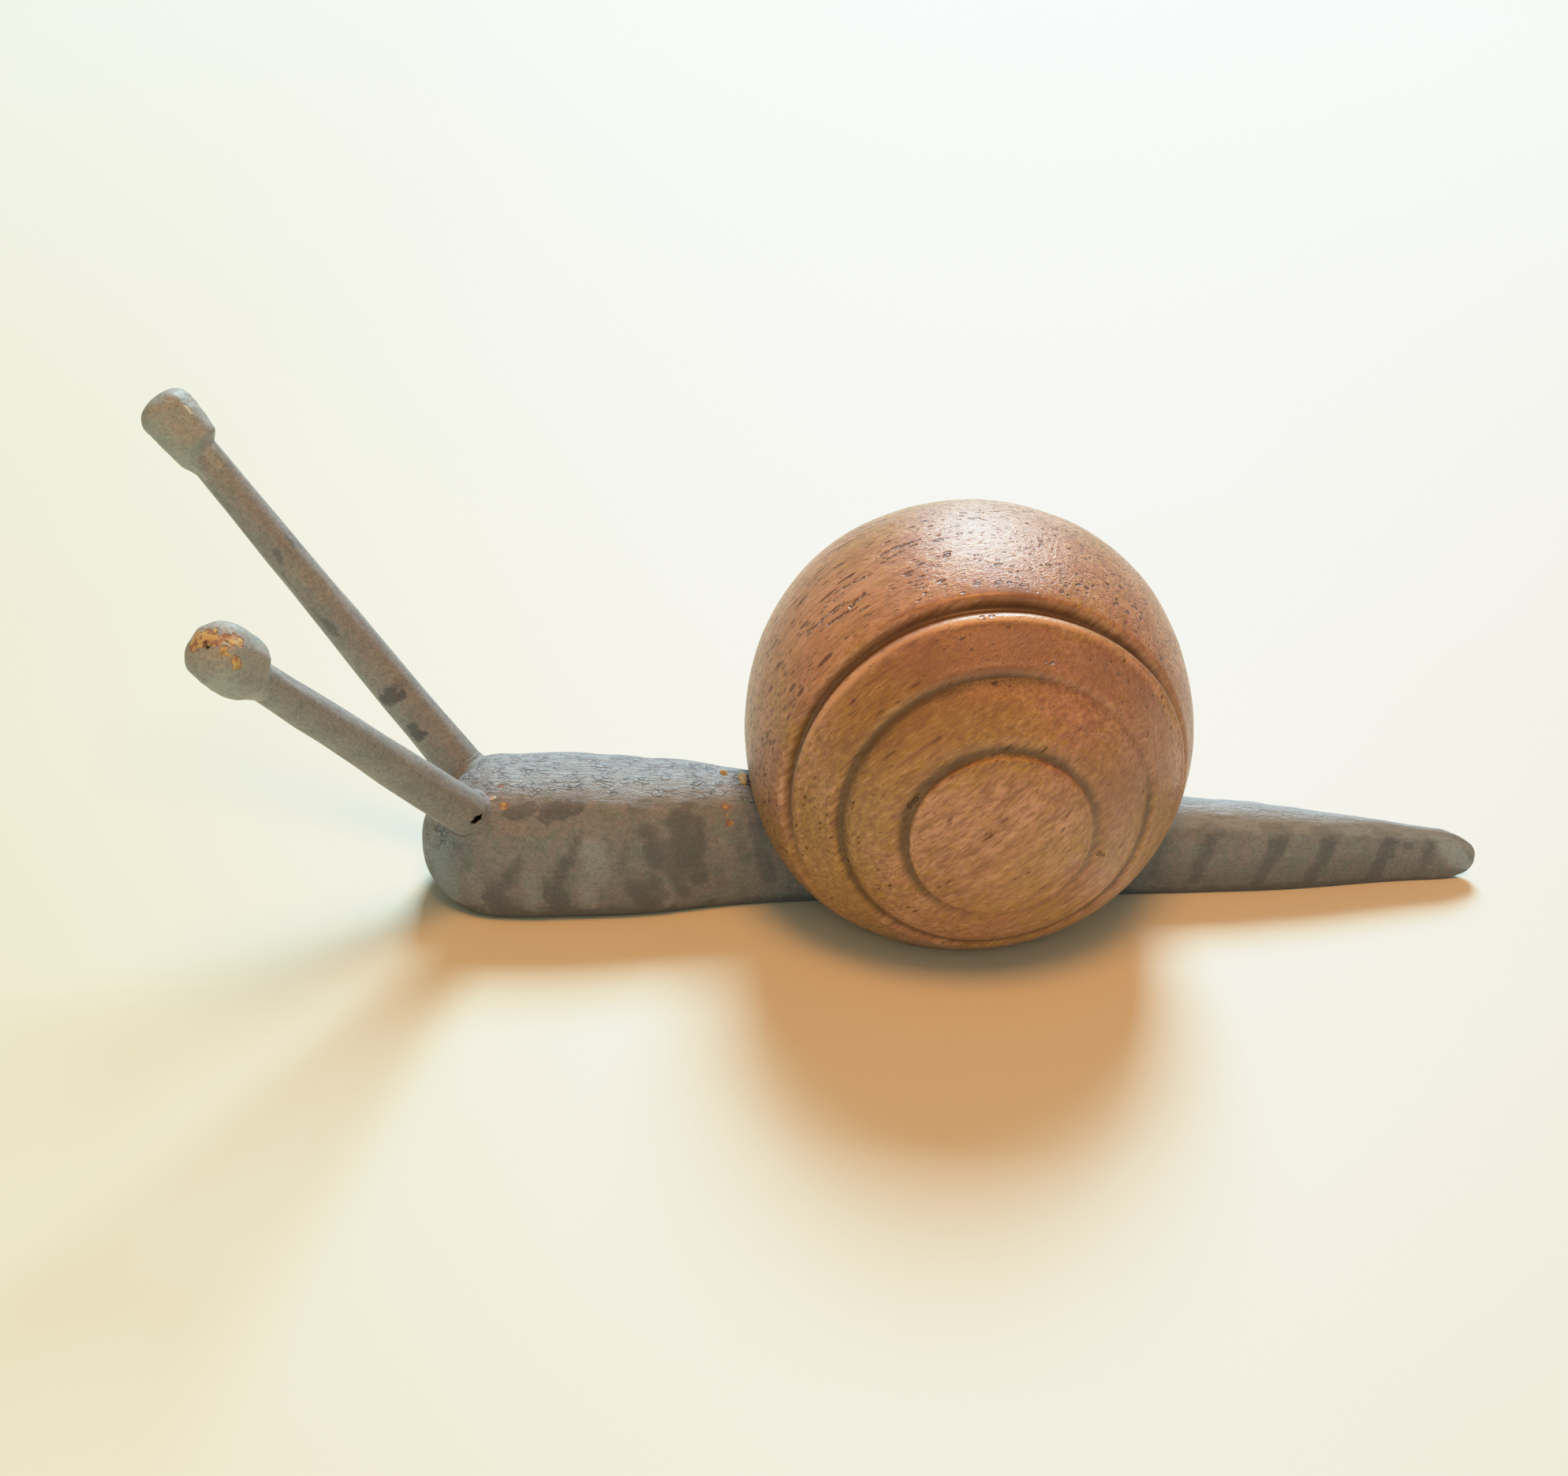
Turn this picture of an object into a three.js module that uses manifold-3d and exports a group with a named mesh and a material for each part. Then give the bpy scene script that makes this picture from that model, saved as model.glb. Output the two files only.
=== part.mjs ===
// A small wooden snail toy that lies on a table: a carved, painted body, a turned hardwood
// shell glued astride it, and two stick tentacles with bead eyes, glued into the head.
// Millimetres, +Z up. The head points to -X, the tail to +X and the snail's left side to -Y.
// The origin is on the underside, straight below the shell's centre.
import * as THREE from 'three';
import { mergeVertices } from 'three/addons/utils/BufferGeometryUtils.js';
import Module from 'manifold-3d';

const wasm = await Module();
wasm.setup();

const { degToRad, lerp } = THREE.MathUtils;

// Driving dimensions

const GLUE_GAP = 0.3;           // space left between two fitted pieces

const NOSE_X = -46.4;
const TAIL_X = 46.6;
const NOSE_ROUNDING = 7.5;      // stretch over which the nose rounds off
const NOSE_TIP_Z = 4.7;
const TAIL_ROUNDING = 4.5;
const TAIL_TIP_Z = 1.8;
const WAIST = 0.42;             // height of the widest line, as a share of the body's height
const BACK_SQUARENESS = 2.25;   // exponents of the section above and below the waist
const FOOT_SQUARENESS = 5;
const FOOT_SANDING = 0.05;      // share of the height that is rubbed off to make the foot flat
const END_SQUARENESS = 2.3;     // exponent of the rounded nose and tail in plan and in profile
const BODY_STATIONS = 48;       // cross-sections along the body
const BODY_SIDES = 28;          // points around a cross-section
const CURVE_SAMPLES = 200;
const TIP_SHARE = 0.9995;       // the last stations lie just short of the tips

// Half the body's width and its full height at stations along X, as [x, value]
const BODY_HALF_WIDTHS = [
  [-46.4, 5.6], [-41, 6.5], [-34, 6.6], [-27, 6.1], [-20, 4.7], [-8, 3.8], [16, 3.1], [32, 2.3], [46.6, 1.6],
];
const BODY_HEIGHTS = [
  [-46.4, 10], [-40, 11.4], [-32, 11.6], [-24, 10.9], [-17, 9.7], [-4, 8.8], [16, 8.2], [32, 6.6], [46.6, 3.8],
];

const SHELL_RADIUS = 19;
const SHELL_CENTRE_Z = 15.6;    // less than the radius, so the ball ends in a flat
const SHELL_SQUARENESS = 2.07;  // exponent of the turned outline, 2 is a true ball
const SHELL_SEGMENTS = 52;
const SHELL_STEP = degToRad(6);
const SLOT_HALF_LENGTH = 24;    // longer than the shell on both sides
const SLOT_STATIONS = 24;
const SLOT_FLOOR_Z = -1;

// The turned rings of one face: distance from the turning axis as a share of the shell's
// radius, depth, and the angles over which the groove falls away on its two sides
const RINGS = [
  { radius: 0.85, depth: 0.8, inward: degToRad(7), outward: degToRad(2.5) },
  { radius: 0.64, depth: 0.5, inward: degToRad(5), outward: degToRad(2.5) },
  { radius: 0.425, depth: 0.45, inward: degToRad(3), outward: degToRad(3.5) },
];

const DOWEL_RADIUS = 2;
const DOWEL_BOTTOM_Z = 3.2;
const DOWEL_TOP_Z = 19;
const CHAMFER = 0.35;           // eased edge on the ends of dowel, stalks and beads

// Where each stalk leaves the head, and the far end of its bead
const TENTACLES = {
  left: { root: [-42.3, -4.2, 9.5], end: [-59.2, -23.3, 35.1] },
  right: { root: [-43.2, 3.2, 9.8], end: [-67.5, 10.9, 40.3] },
};
const STALK_ROOT_RADIUS = 2.05;
const STALK_TIP_RADIUS = 1.42;
const TENON_LENGTH = 4.2;       // stretch of stalk inside the head
const SPIGOT_RADIUS = 1.1;      // whittled end that the bead is pushed over
const SPIGOT_LENGTH = 3;
const STALK_SEGMENTS = 18;
const BEAD_RADIUS = 2.45;
const BEAD_LENGTH = 5.4;
const BEAD_BACK_RADIUS = 2.1;

const painted = new THREE.MeshStandardMaterial({ color: 0x7f8078, roughness: 0.62, metalness: 0 });
const lacquered = new THREE.MeshStandardMaterial({ color: 0x9a5a3a, roughness: 0.38, metalness: 0 });
const bareWood = new THREE.MeshStandardMaterial({ color: 0xc9a26b, roughness: 0.7, metalness: 0 });

// Solids

function toSolid(geometry) {
  const bare = geometry.clone();
  bare.deleteAttribute('normal');
  bare.deleteAttribute('uv');
  const merged = mergeVertices(bare, 1e-4);
  const index = merged.index.array;
  const triangles = [];
  for (let i = 0; i < index.length; i += 3) {
    const [a, b, c] = index.slice(i, i + 3);
    if (a !== b && b !== c && c !== a) triangles.push(a, b, c);
  }
  return new wasm.Manifold(new wasm.Mesh({
    numProp: 3,
    vertProperties: Float32Array.from(merged.attributes.position.array),
    triVerts: Uint32Array.from(triangles),
  }));
}

// The blank with every tool cut out of it
function cut(blank, tools) {
  let solid = toSolid(blank);
  for (const tool of tools) {
    solid = solid.subtract(toSolid(tool));
  }
  const mesh = solid.getMesh();
  const geometry = new THREE.BufferGeometry();
  geometry.setAttribute('position', new THREE.BufferAttribute(mesh.vertProperties, 3));
  geometry.setIndex(new THREE.BufferAttribute(mesh.triVerts, 1));
  geometry.computeVertexNormals();
  return geometry;
}

// A closed skin over the sections that pointAt(x, angle) gives between two ends along X.
// The angle runs once round the section, over the top first.
function loft(pointAt, xAt, stations) {
  const geometry = new THREE.CylinderGeometry(1, 1, 2, BODY_SIDES, stations);
  const position = geometry.attributes.position;
  const side = 2 * Math.PI / BODY_SIDES;
  for (let i = 0; i < position.count; i += 1) {
    const x = xAt(position.getY(i));
    const onRim = Math.hypot(position.getX(i), position.getZ(i)) > 0.5;
    const turn = Math.round(Math.atan2(position.getX(i), position.getZ(i)) / side);
    const point = new THREE.Vector3();
    if (onRim) {
      point.copy(pointAt(x, turn * side));
    } else {
      point.lerpVectors(pointAt(x, Math.PI / 2), pointAt(x, -Math.PI / 2), 0.5);
    }
    position.setXYZ(i, point.x, point.y, point.z);
  }
  return geometry;
}

// A smooth curve of value against X through a few stations
function curveThrough(stations) {
  const spline = new THREE.SplineCurve(stations.map(([x, value]) => new THREE.Vector2(x, value)));
  const samples = spline.getPoints(CURVE_SAMPLES);
  return (x) => {
    const next = Math.max(samples.findIndex((sample) => sample.x >= x), 1);
    const before = samples[next - 1];
    const after = samples[next];
    return THREE.MathUtils.mapLinear(x, before.x, after.x, before.y, after.y);
  };
}

// Body: head, neck, foot and tail are one carved strip of wood

const bodyHalfWidth = curveThrough(BODY_HALF_WIDTHS);
const bodyHeight = curveThrough(BODY_HEIGHTS);

// How far a rounded end has swelled: 0 at the very tip and 1 past the rounded stretch
function endSwell(distance, rounding) {
  const inward = 1 - Math.min(distance / rounding, 1);
  return Math.pow(1 - Math.pow(inward, END_SQUARENESS), 1 / END_SQUARENESS);
}

// A point of the body's skin: a section with a flat foot, full sides and a round back
function bodyPoint(x, angle) {
  const swell = endSwell(x - NOSE_X, NOSE_ROUNDING) * endSwell(TAIL_X - x, TAIL_ROUNDING);
  const across = Math.cos(angle);
  const up = Math.sin(angle);
  const power = up > 0 ? 2 / BACK_SQUARENESS : 2 / FOOT_SQUARENESS;
  const rise = Math.pow(Math.abs(up), power);
  const share = up > 0 ? WAIST + (1 - WAIST) * rise : WAIST - (WAIST + FOOT_SANDING) * rise;
  const tipZ = x < 0 ? NOSE_TIP_Z : TAIL_TIP_Z;
  return new THREE.Vector3(
    x,
    bodyHalfWidth(x) * swell * Math.sign(across) * Math.pow(Math.abs(across), power),
    lerp(tipZ, bodyHeight(x) * Math.max(share, 0), swell),
  );
}

// The stations crowd together towards nose and tail, where the outline turns fastest
function bodyX(t) {
  const shareAlong = (1 + TIP_SHARE * Math.sin(t * Math.PI / 2)) / 2;
  return lerp(NOSE_X, TAIL_X, shareAlong);
}

// The slot that the shell is sawn and filed to, so that it sits astride the body: the
// body's own section with a glue gap over the back, and straight walls down from the waist
function slotPoint(x, angle) {
  const halfWidth = bodyHalfWidth(x) + GLUE_GAP;
  const across = Math.cos(angle);
  const up = Math.sin(angle);
  if (up >= 0) {
    const back = bodyPoint(x, angle);
    return new THREE.Vector3(x, back.y * halfWidth / bodyHalfWidth(x), back.z + GLUE_GAP);
  }
  const corner = Math.SQRT1_2;
  return new THREE.Vector3(
    x,
    halfWidth * THREE.MathUtils.clamp(across / corner, -1, 1),
    lerp(WAIST * bodyHeight(x) + GLUE_GAP, SLOT_FLOOR_Z, Math.min(-up / corner, 1)),
  );
}

// Shell: a ball turned about the Y axis with three rings in each face

function shellRadiusAt(polar) {
  const roundness = Math.pow(Math.abs(Math.sin(polar)), SHELL_SQUARENESS)
    + Math.pow(Math.abs(Math.cos(polar)), SHELL_SQUARENESS);
  let radius = SHELL_RADIUS * Math.pow(roundness, -1 / SHELL_SQUARENESS);
  const fromNearPole = Math.min(polar, Math.PI - polar);
  for (const ring of RINGS) {
    const offset = fromNearPole - Math.asin(ring.radius);
    const reach = offset < 0 ? ring.inward : ring.outward;
    radius -= ring.depth * (1 + Math.cos(Math.PI * Math.min(Math.abs(offset) / reach, 1))) / 2;
  }
  return radius;
}

function makeShellBlank() {
  const quarter = [];
  for (let polar = 0; polar < Math.PI / 2; polar += SHELL_STEP) {
    const isClear = RINGS.every((ring) => {
      const offset = polar - Math.asin(ring.radius);
      return offset < -ring.inward || offset > ring.outward;
    });
    if (isClear) quarter.push(polar);
  }
  for (const ring of RINGS) {
    for (const share of [-1, -0.5, 0, 0.5, 1]) {
      quarter.push(Math.asin(ring.radius) + share * (share < 0 ? ring.inward : ring.outward));
    }
  }
  quarter.sort((a, b) => a - b);
  const polars = [...quarter, Math.PI / 2, ...quarter.map((polar) => Math.PI - polar).reverse()];
  const outline = polars.map((polar) => {
    const radius = shellRadiusAt(polar);
    return new THREE.Vector2(Math.max(radius * Math.sin(polar), 0), -radius * Math.cos(polar));
  });
  outline[0].x = 0;
  outline[outline.length - 1].x = 0;
  return new THREE.LatheGeometry(outline, SHELL_SEGMENTS).translate(0, 0, SHELL_CENTRE_Z);
}

function makeTableTool() {
  const size = 3 * SHELL_RADIUS;
  return new THREE.BoxGeometry(size, size, size).translate(0, 0, -size / 2);
}

// Dowel: a hidden upright pin between body and shell

function makeDowel(growth) {
  const radius = DOWEL_RADIUS + growth;
  const outline = [
    [0, DOWEL_BOTTOM_Z - growth],
    [radius - CHAMFER, DOWEL_BOTTOM_Z - growth],
    [radius, DOWEL_BOTTOM_Z - growth + CHAMFER],
    [radius, DOWEL_TOP_Z + growth - CHAMFER],
    [radius - CHAMFER, DOWEL_TOP_Z + growth],
    [0, DOWEL_TOP_Z + growth],
  ].map(([x, y]) => new THREE.Vector2(x, y));
  return new THREE.LatheGeometry(outline, STALK_SEGMENTS).rotateX(Math.PI / 2);
}

// Tentacles: each is drawn standing along +Y from the head's surface, then set in place

function makeStalk(length) {
  const shoulder = length - BEAD_LENGTH - GLUE_GAP;
  const outline = [
    [0, -TENON_LENGTH],
    [STALK_ROOT_RADIUS - CHAMFER, -TENON_LENGTH],
    [STALK_ROOT_RADIUS, CHAMFER - TENON_LENGTH],
    [STALK_ROOT_RADIUS, 0],
    [STALK_TIP_RADIUS, shoulder],
    [SPIGOT_RADIUS, shoulder],
    [SPIGOT_RADIUS, shoulder + SPIGOT_LENGTH],
    [0, shoulder + SPIGOT_LENGTH],
  ].map(([x, y]) => new THREE.Vector2(x, y));
  return new THREE.LatheGeometry(outline, STALK_SEGMENTS);
}

function makeStalkHole() {
  const radius = STALK_ROOT_RADIUS + GLUE_GAP;
  const depth = TENON_LENGTH + GLUE_GAP;
  const height = 3 * depth;
  const drill = new THREE.CylinderGeometry(radius, radius, height, STALK_SEGMENTS);
  return drill.translate(0, height / 2 - depth, 0);
}

// A whittled bead: square shoulder behind, swelling sides and a round end
function makeBead(length) {
  const back = length - BEAD_LENGTH;
  const roundStart = length - BEAD_RADIUS;
  const outline = [[0, back], [BEAD_BACK_RADIUS - CHAMFER, back], [BEAD_BACK_RADIUS, back + CHAMFER]];
  for (let angle = 0; angle <= 90; angle += 15) {
    const turn = degToRad(angle);
    outline.push([BEAD_RADIUS * Math.cos(turn), roundStart + BEAD_RADIUS * Math.sin(turn)]);
  }
  outline[outline.length - 1][0] = 0;
  const blank = new THREE.LatheGeometry(outline.map(([x, y]) => new THREE.Vector2(x, y)), STALK_SEGMENTS);
  const radius = SPIGOT_RADIUS + GLUE_GAP;
  const bore = new THREE.CylinderGeometry(radius, radius, 2 * SPIGOT_LENGTH, STALK_SEGMENTS);
  return cut(blank, [bore.translate(0, back, 0)]);
}

// Assembly

function addPiece(parent, name, geometry, material) {
  const mesh = new THREE.Mesh(geometry, material);
  mesh.name = name;
  parent.add(mesh);
}

const group = new THREE.Group();

const holes = [];
for (const [side, { root, end }] of Object.entries(TENTACLES)) {
  const rootPoint = new THREE.Vector3(...root);
  const reach = new THREE.Vector3(...end).sub(rootPoint);
  const length = reach.length();
  const tentacle = new THREE.Group();
  tentacle.position.copy(rootPoint);
  tentacle.quaternion.setFromUnitVectors(new THREE.Vector3(0, 1, 0), reach.normalize());
  tentacle.updateMatrixWorld();
  holes.push(makeStalkHole().applyMatrix4(tentacle.matrixWorld));
  addPiece(tentacle, `${side}_stalk`, cut(makeStalk(length), []), painted);
  addPiece(tentacle, `${side}_eye_bead`, makeBead(length), painted);
  group.add(tentacle);
}

const dowelBore = makeDowel(GLUE_GAP);
const slot = loft(slotPoint, (t) => t * SLOT_HALF_LENGTH, SLOT_STATIONS);
addPiece(group, 'body', cut(loft(bodyPoint, bodyX, BODY_STATIONS), [dowelBore, ...holes]), painted);
addPiece(group, 'shell', cut(makeShellBlank(), [makeTableTool(), slot, dowelBore]), lacquered);
addPiece(group, 'shell_dowel', cut(makeDowel(0), []), bareWood);

export default group;
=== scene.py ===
"""A small hand-made wooden snail: carved and painted body, turned lacquered shell, stick tentacles.

Metres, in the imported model's frame: the head points to -X, the tail to +X, the snail's left
side to -Y, and the table is at Z = 0. Lengths in the constants below are in millimetres.
"""
import math
import random

import bpy
import numpy as np
from mathutils import Matrix, Vector, noise
from mathutils.bvhtree import BVHTree


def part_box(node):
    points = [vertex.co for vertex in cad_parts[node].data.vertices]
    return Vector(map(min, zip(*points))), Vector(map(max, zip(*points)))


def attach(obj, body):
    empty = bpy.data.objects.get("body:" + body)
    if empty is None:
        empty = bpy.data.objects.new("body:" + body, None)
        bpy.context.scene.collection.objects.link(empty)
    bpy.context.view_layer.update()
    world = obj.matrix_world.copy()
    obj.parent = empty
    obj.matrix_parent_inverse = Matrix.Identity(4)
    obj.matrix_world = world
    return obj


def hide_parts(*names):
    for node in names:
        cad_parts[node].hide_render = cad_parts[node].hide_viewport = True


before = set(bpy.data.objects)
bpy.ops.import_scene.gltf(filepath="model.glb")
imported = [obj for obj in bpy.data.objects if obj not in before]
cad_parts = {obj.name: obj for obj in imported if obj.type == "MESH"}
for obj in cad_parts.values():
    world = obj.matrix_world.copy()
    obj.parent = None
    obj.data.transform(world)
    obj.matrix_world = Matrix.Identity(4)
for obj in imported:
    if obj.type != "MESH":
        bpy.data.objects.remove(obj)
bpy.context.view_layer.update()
MM = 0.001

# --- What the frame says ------------------------------------------------------------------


def node_points(name):
    """A CAD node's vertices in millimetres."""
    return np.array([vertex.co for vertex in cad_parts[name].data.vertices]) / MM


SHELL_LOW, SHELL_HIGH = (np.array(corner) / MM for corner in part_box("shell"))
SHELL_RADIUS = (SHELL_HIGH[0] - SHELL_LOW[0]) / 2
SHELL_CENTRE = np.array([(SHELL_LOW[0] + SHELL_HIGH[0]) / 2, 0.0, SHELL_HIGH[2] - SHELL_RADIUS])

# --- Mesh helpers -------------------------------------------------------------------------


def link(name, vertices_mm, faces, smooth=True):
    mesh = bpy.data.meshes.new(name)
    mesh.from_pydata((np.asarray(vertices_mm) * MM).tolist(), [], faces)
    mesh.validate()
    if smooth:
        mesh.shade_smooth()
    obj = bpy.data.objects.new(name, mesh)
    bpy.context.scene.collection.objects.link(obj)
    return obj


def tube_faces(rows, columns):
    """Faces of a closed skin: rows rings of columns points, then a point at each end."""
    faces = []
    for row in range(rows - 1):
        for column in range(columns):
            after = (column + 1) % columns
            here, there = row * columns, (row + 1) * columns
            faces.append((here + column, here + after, there + after, there + column))
    first, last = rows * columns, rows * columns + 1
    for column in range(columns):
        after = (column + 1) % columns
        faces.append((first, after, column))
        faces.append((last, (rows - 1) * columns + column, (rows - 1) * columns + after))
    return faces


def face_outward(obj):
    """Turns the skin inside out if its faces point inwards."""
    mesh = obj.data
    volume = 0.0
    for polygon in mesh.polygons:
        corners = [mesh.vertices[i].co for i in polygon.vertices]
        for second, third in zip(corners[1:], corners[2:]):
            volume += corners[0].dot(second.cross(third))
    if volume < 0:
        mesh.flip_normals()
    return obj


def skin(name, rings):
    """A closed skin over rings, an array of rows x columns x 3 points, with a point at each end."""
    rows, columns = rings.shape[:2]
    ends = [rings[0].mean(axis=0), rings[-1].mean(axis=0)]
    points = np.concatenate([rings.reshape(-1, 3), ends])
    return face_outward(link(name, points, tube_faces(rows, columns)))


def wobble(points, scale, seed, octaves=2):
    """Smooth noise from -1 to 1 at points in millimetres, with features scale millimetres across."""
    shift = Vector((seed * 17.3, seed * 5.1, seed * 9.7))
    return np.array([
        noise.fractal(Vector(point) / scale + shift, 0.6, 2.0, octaves) for point in points
    ])


def set_attribute(obj, name, values):
    """Gives each point a value. The points at a skin's ends get 0 when values leaves them out."""
    padded = np.zeros(len(obj.data.vertices), dtype=np.float32)
    padded[:np.size(values)] = np.ravel(values)
    attribute = obj.data.attributes.new(name, "FLOAT", "POINT")
    attribute.data.foreach_set("value", padded)


def cut_away(obj, cutter):
    """Cuts the cutter's shape out of obj and removes the cutter."""
    modifier = obj.modifiers.new("cut", "BOOLEAN")
    modifier.operation = "DIFFERENCE"
    modifier.solver = "MANIFOLD"
    modifier.object = cutter
    with bpy.context.temp_override(object=obj, active_object=obj):
        bpy.ops.object.modifier_apply(modifier=modifier.name)
    bpy.data.objects.remove(cutter)


def ease(low, high, values):
    """0 below low, 1 above high and a smooth step between."""
    share = np.clip((values - low) / (high - low), 0.0, 1.0)
    return share * share * (3 - 2 * share)


def full_turn(count):
    """Evenly spaced angles round a circle."""
    return np.arange(count) * 2 * math.pi / count


def unit_vector(vector):
    vector = np.asarray(vector, dtype=float)
    return vector / np.linalg.norm(vector)


def pushed_out(points, middle, height):
    """Points moved straight away from a middle point or points by a height."""
    outward = points - middle
    outward /= np.maximum(np.linalg.norm(outward, axis=1, keepdims=True), 1e-6)
    return points + outward * height[:, None]


# --- Body ---------------------------------------------------------------------------------

WAIST = 0.42            # height of the widest line, as a share of the body's height
BACK_SQUARENESS = 2.25  # exponents of the section above and below the waist
FOOT_SQUARENESS = 5.0
FOOT_SANDING = 0.05
BODY_ROWS = 560
BODY_COLUMNS = 240


def body_stations():
    """x, half width, top and foot of every full cross-section of the CAD body."""
    points = node_points("body")
    stations = []
    for x in np.unique(np.round(points[:, 0], 2)):
        ring = np.unique(np.round(points[np.abs(points[:, 0] - x) < 0.006], 3), axis=0)
        if len(ring) >= 20 and np.abs(ring[:, 1]).min() < 0.05:
            stations.append([x, np.abs(ring[:, 1]).max(), ring[:, 2].max(), ring[:, 2].min()])
    return np.array(stations)


def smooth_resample(rows, count):
    """count rows along a smooth curve through the given rows."""
    steps = np.linspace(0, len(rows) - 1, count)
    index = np.clip(steps.astype(int), 0, len(rows) - 2)
    share = (steps - index)[:, None]
    before = rows[np.maximum(index - 1, 0)]
    here, there = rows[index], rows[index + 1]
    after = rows[np.minimum(index + 2, len(rows) - 1)]
    return here + 0.5 * share * (there - before + share * (
        2 * before - 5 * here + 4 * there - after + share * (3 * (here - there) + after - before)))


BODY_STATIONS = body_stations()


def section(half_width, top, foot, turn):
    """Side and height of a point of a cross-section. The turn goes round over the back first."""
    across, up = np.cos(turn), np.sin(turn)
    power = np.where(up > 0, 2 / BACK_SQUARENESS, 2 / FOOT_SQUARENESS)
    rise = np.abs(up) ** power
    share = np.where(up > 0, WAIST + (1 - WAIST) * rise, WAIST - (WAIST + FOOT_SANDING) * rise)
    side = half_width * np.sign(across) * np.abs(across) ** power
    return side, foot + (top - foot) * np.maximum(share, 0)


def body_profile(x):
    """Half width, top and foot at x."""
    return [np.interp(x, BODY_STATIONS[:, 0], BODY_STATIONS[:, k]) for k in (1, 2, 3)]


def girth_shares(rings):
    """0 at the foot's edge and 1 along the middle of the back, for every point of every ring."""
    steps = np.linalg.norm(np.diff(rings, axis=1), axis=2)
    lengths = np.concatenate([np.zeros((len(rings), 1)), np.cumsum(steps, axis=1)], axis=1)
    columns = rings.shape[1]
    top = columns // 4
    from_top = np.abs(lengths - lengths[:, top:top + 1])
    total = lengths[:, -1:] + steps[:, :1]
    from_top = np.minimum(from_top, total - from_top)
    reach = lengths[:, columns // 2:columns // 2 + 1] - lengths[:, top:top + 1]
    waist_height = rings[:, columns // 2:columns // 2 + 1, 2]
    return np.clip(1 - from_top / (reach + waist_height), 0, 1)


# Brush strokes on the near side of the body: x and girth share of both ends, half width in
# millimetres and how dark the stroke is; a negative stroke is a lighter patch
HEAD_STROKES = [
    (-38.5, 0.66, -36.9, 0.69, 0.62, 1.15),
    (-35.5, 0.66, -33.3, 0.70, 0.85, 1.15),
    (-32.3, 0.735, -30.9, 0.76, 0.35, 0.70),
    (-28.6, 0.69, -27.3, 0.725, 0.50, 1.00),
    (-23.6, 0.76, -24.4, 0.66, 0.60, 1.00),
    (-24.4, 0.62, -24.1, 0.38, 1.30, 1.00),
    (-23.0, 0.60, -22.9, 0.25, 0.75, 1.00),
    (-24.7, 0.24, -24.0, 0.17, 0.60, 0.90),
    (-27.2, 0.55, -26.2, 0.38, 0.95, 1.00),
    (-25.5, 0.50, -25.2, 0.34, 0.80, 0.80),
    (-26.9, 0.24, -25.8, 0.17, 0.75, 0.85),
    (-28.9, 0.52, -29.3, 0.34, 0.45, 0.75),
    (-28.2, 0.22, -26.9, 0.08, 0.95, 1.00),
    (-30.0, 0.05, -26.2, 0.03, 0.60, 0.90),
    (-32.9, 0.54, -34.0, 0.38, 0.45, 0.90),
    (-34.1, 0.38, -35.0, 0.23, 0.62, 1.05),
    (-35.1, 0.20, -34.5, 0.07, 0.85, 1.10),
    (-34.0, 0.06, -31.2, 0.03, 0.55, 0.80),
    (-38.1, 0.39, -39.0, 0.27, 0.52, 0.95),
    (-39.1, 0.27, -40.3, 0.20, 0.75, 0.95),
    (-40.2, 0.18, -39.2, 0.07, 0.90, 1.10),
    (-39.6, 0.09, -38.3, 0.10, 0.60, 0.90),
    (-43.5, 0.59, -43.4, 0.50, 0.35, 0.70),
    (-43.5, 0.50, -43.2, 0.32, 0.65, 0.40),
    (-43.2, 0.33, -41.9, 0.38, 0.22, 0.70),
    # By the shell: dark paint, and painted shade where the shell shades the neck
    (-19.6, 0.56, -18.8, 0.40, 0.85, 0.60),
    (-18.1, 0.60, -16.8, 0.25, 0.85, 0.80),
    (-21.3, 0.33, -20.6, 0.22, 0.60, 0.45),
    (-38.1, 0.509, -36.4, 0.500, 0.05, 0.70),
    (-31.9, 0.46, -31.2, 0.30, 1.20, -0.90),
    (-36.9, 0.27, -36.8, 0.16, 0.95, -0.85),
    (-32.6, 0.25, -32.0, 0.14, 0.95, -0.80),
    (-25.7, 0.26, -25.3, 0.10, 0.65, -0.80),
    (-42.2, 0.30, -41.5, 0.16, 0.90, -0.60),
    (-37.0, 0.50, -36.0, 0.48, 0.80, -0.20),
    (-21.0, 0.55, -20.6, 0.48, 0.70, -0.30),
    (-20.6, 0.28, -19.9, 0.26, 0.50, -0.50),
    (-44.4, 0.50, -43.9, 0.12, 1.30, -1.10),
]
# Brush strokes on the tail: four stripes that start broad under the top and run thin towards the foot, a dab,
# a short stripe, a painted highlight along the lit top and a lighter tip
TAIL_STROKES = [
    (17.6, 0.60, 16.9, 0.20, 0.50, 0.80),
    (21.5, 0.73, 22.5, 0.69, 0.76, 1.10),
    (21.9, 0.62, 21.2, 0.36, 0.62, 1.10),
    (21.1, 0.34, 20.9, 0.16, 0.48, 1.20),
    (27.1, 0.76, 28.6, 0.74, 0.82, 1.10),
    (28.2, 0.66, 27.4, 0.36, 0.75, 1.15),
    (27.2, 0.32, 26.6, 0.12, 0.52, 1.20),
    (31.6, 0.74, 33.3, 0.71, 0.80, 1.10),
    (32.7, 0.62, 32.4, 0.42, 0.78, 1.15),
    (32.2, 0.34, 31.4, 0.10, 0.58, 1.25),
    (37.5, 0.76, 39.0, 0.74, 0.70, 1.10),
    (38.6, 0.66, 38.3, 0.42, 0.80, 1.15),
    (38.0, 0.32, 37.4, 0.12, 0.75, 1.25),
    (40.2, 0.60, 40.3, 0.54, 0.34, 1.10),
    (42.5, 0.68, 42.2, 0.36, 0.60, 0.95),
    (41.9, 0.30, 41.7, 0.12, 0.42, 0.80),
    # Painted highlight along the tail's lit top
    (14.0, 0.90, 41.0, 0.88, 2.90, -1.45),
    (43.8, 0.74, 45.6, 0.34, 1.60, -1.30),
]
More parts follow.
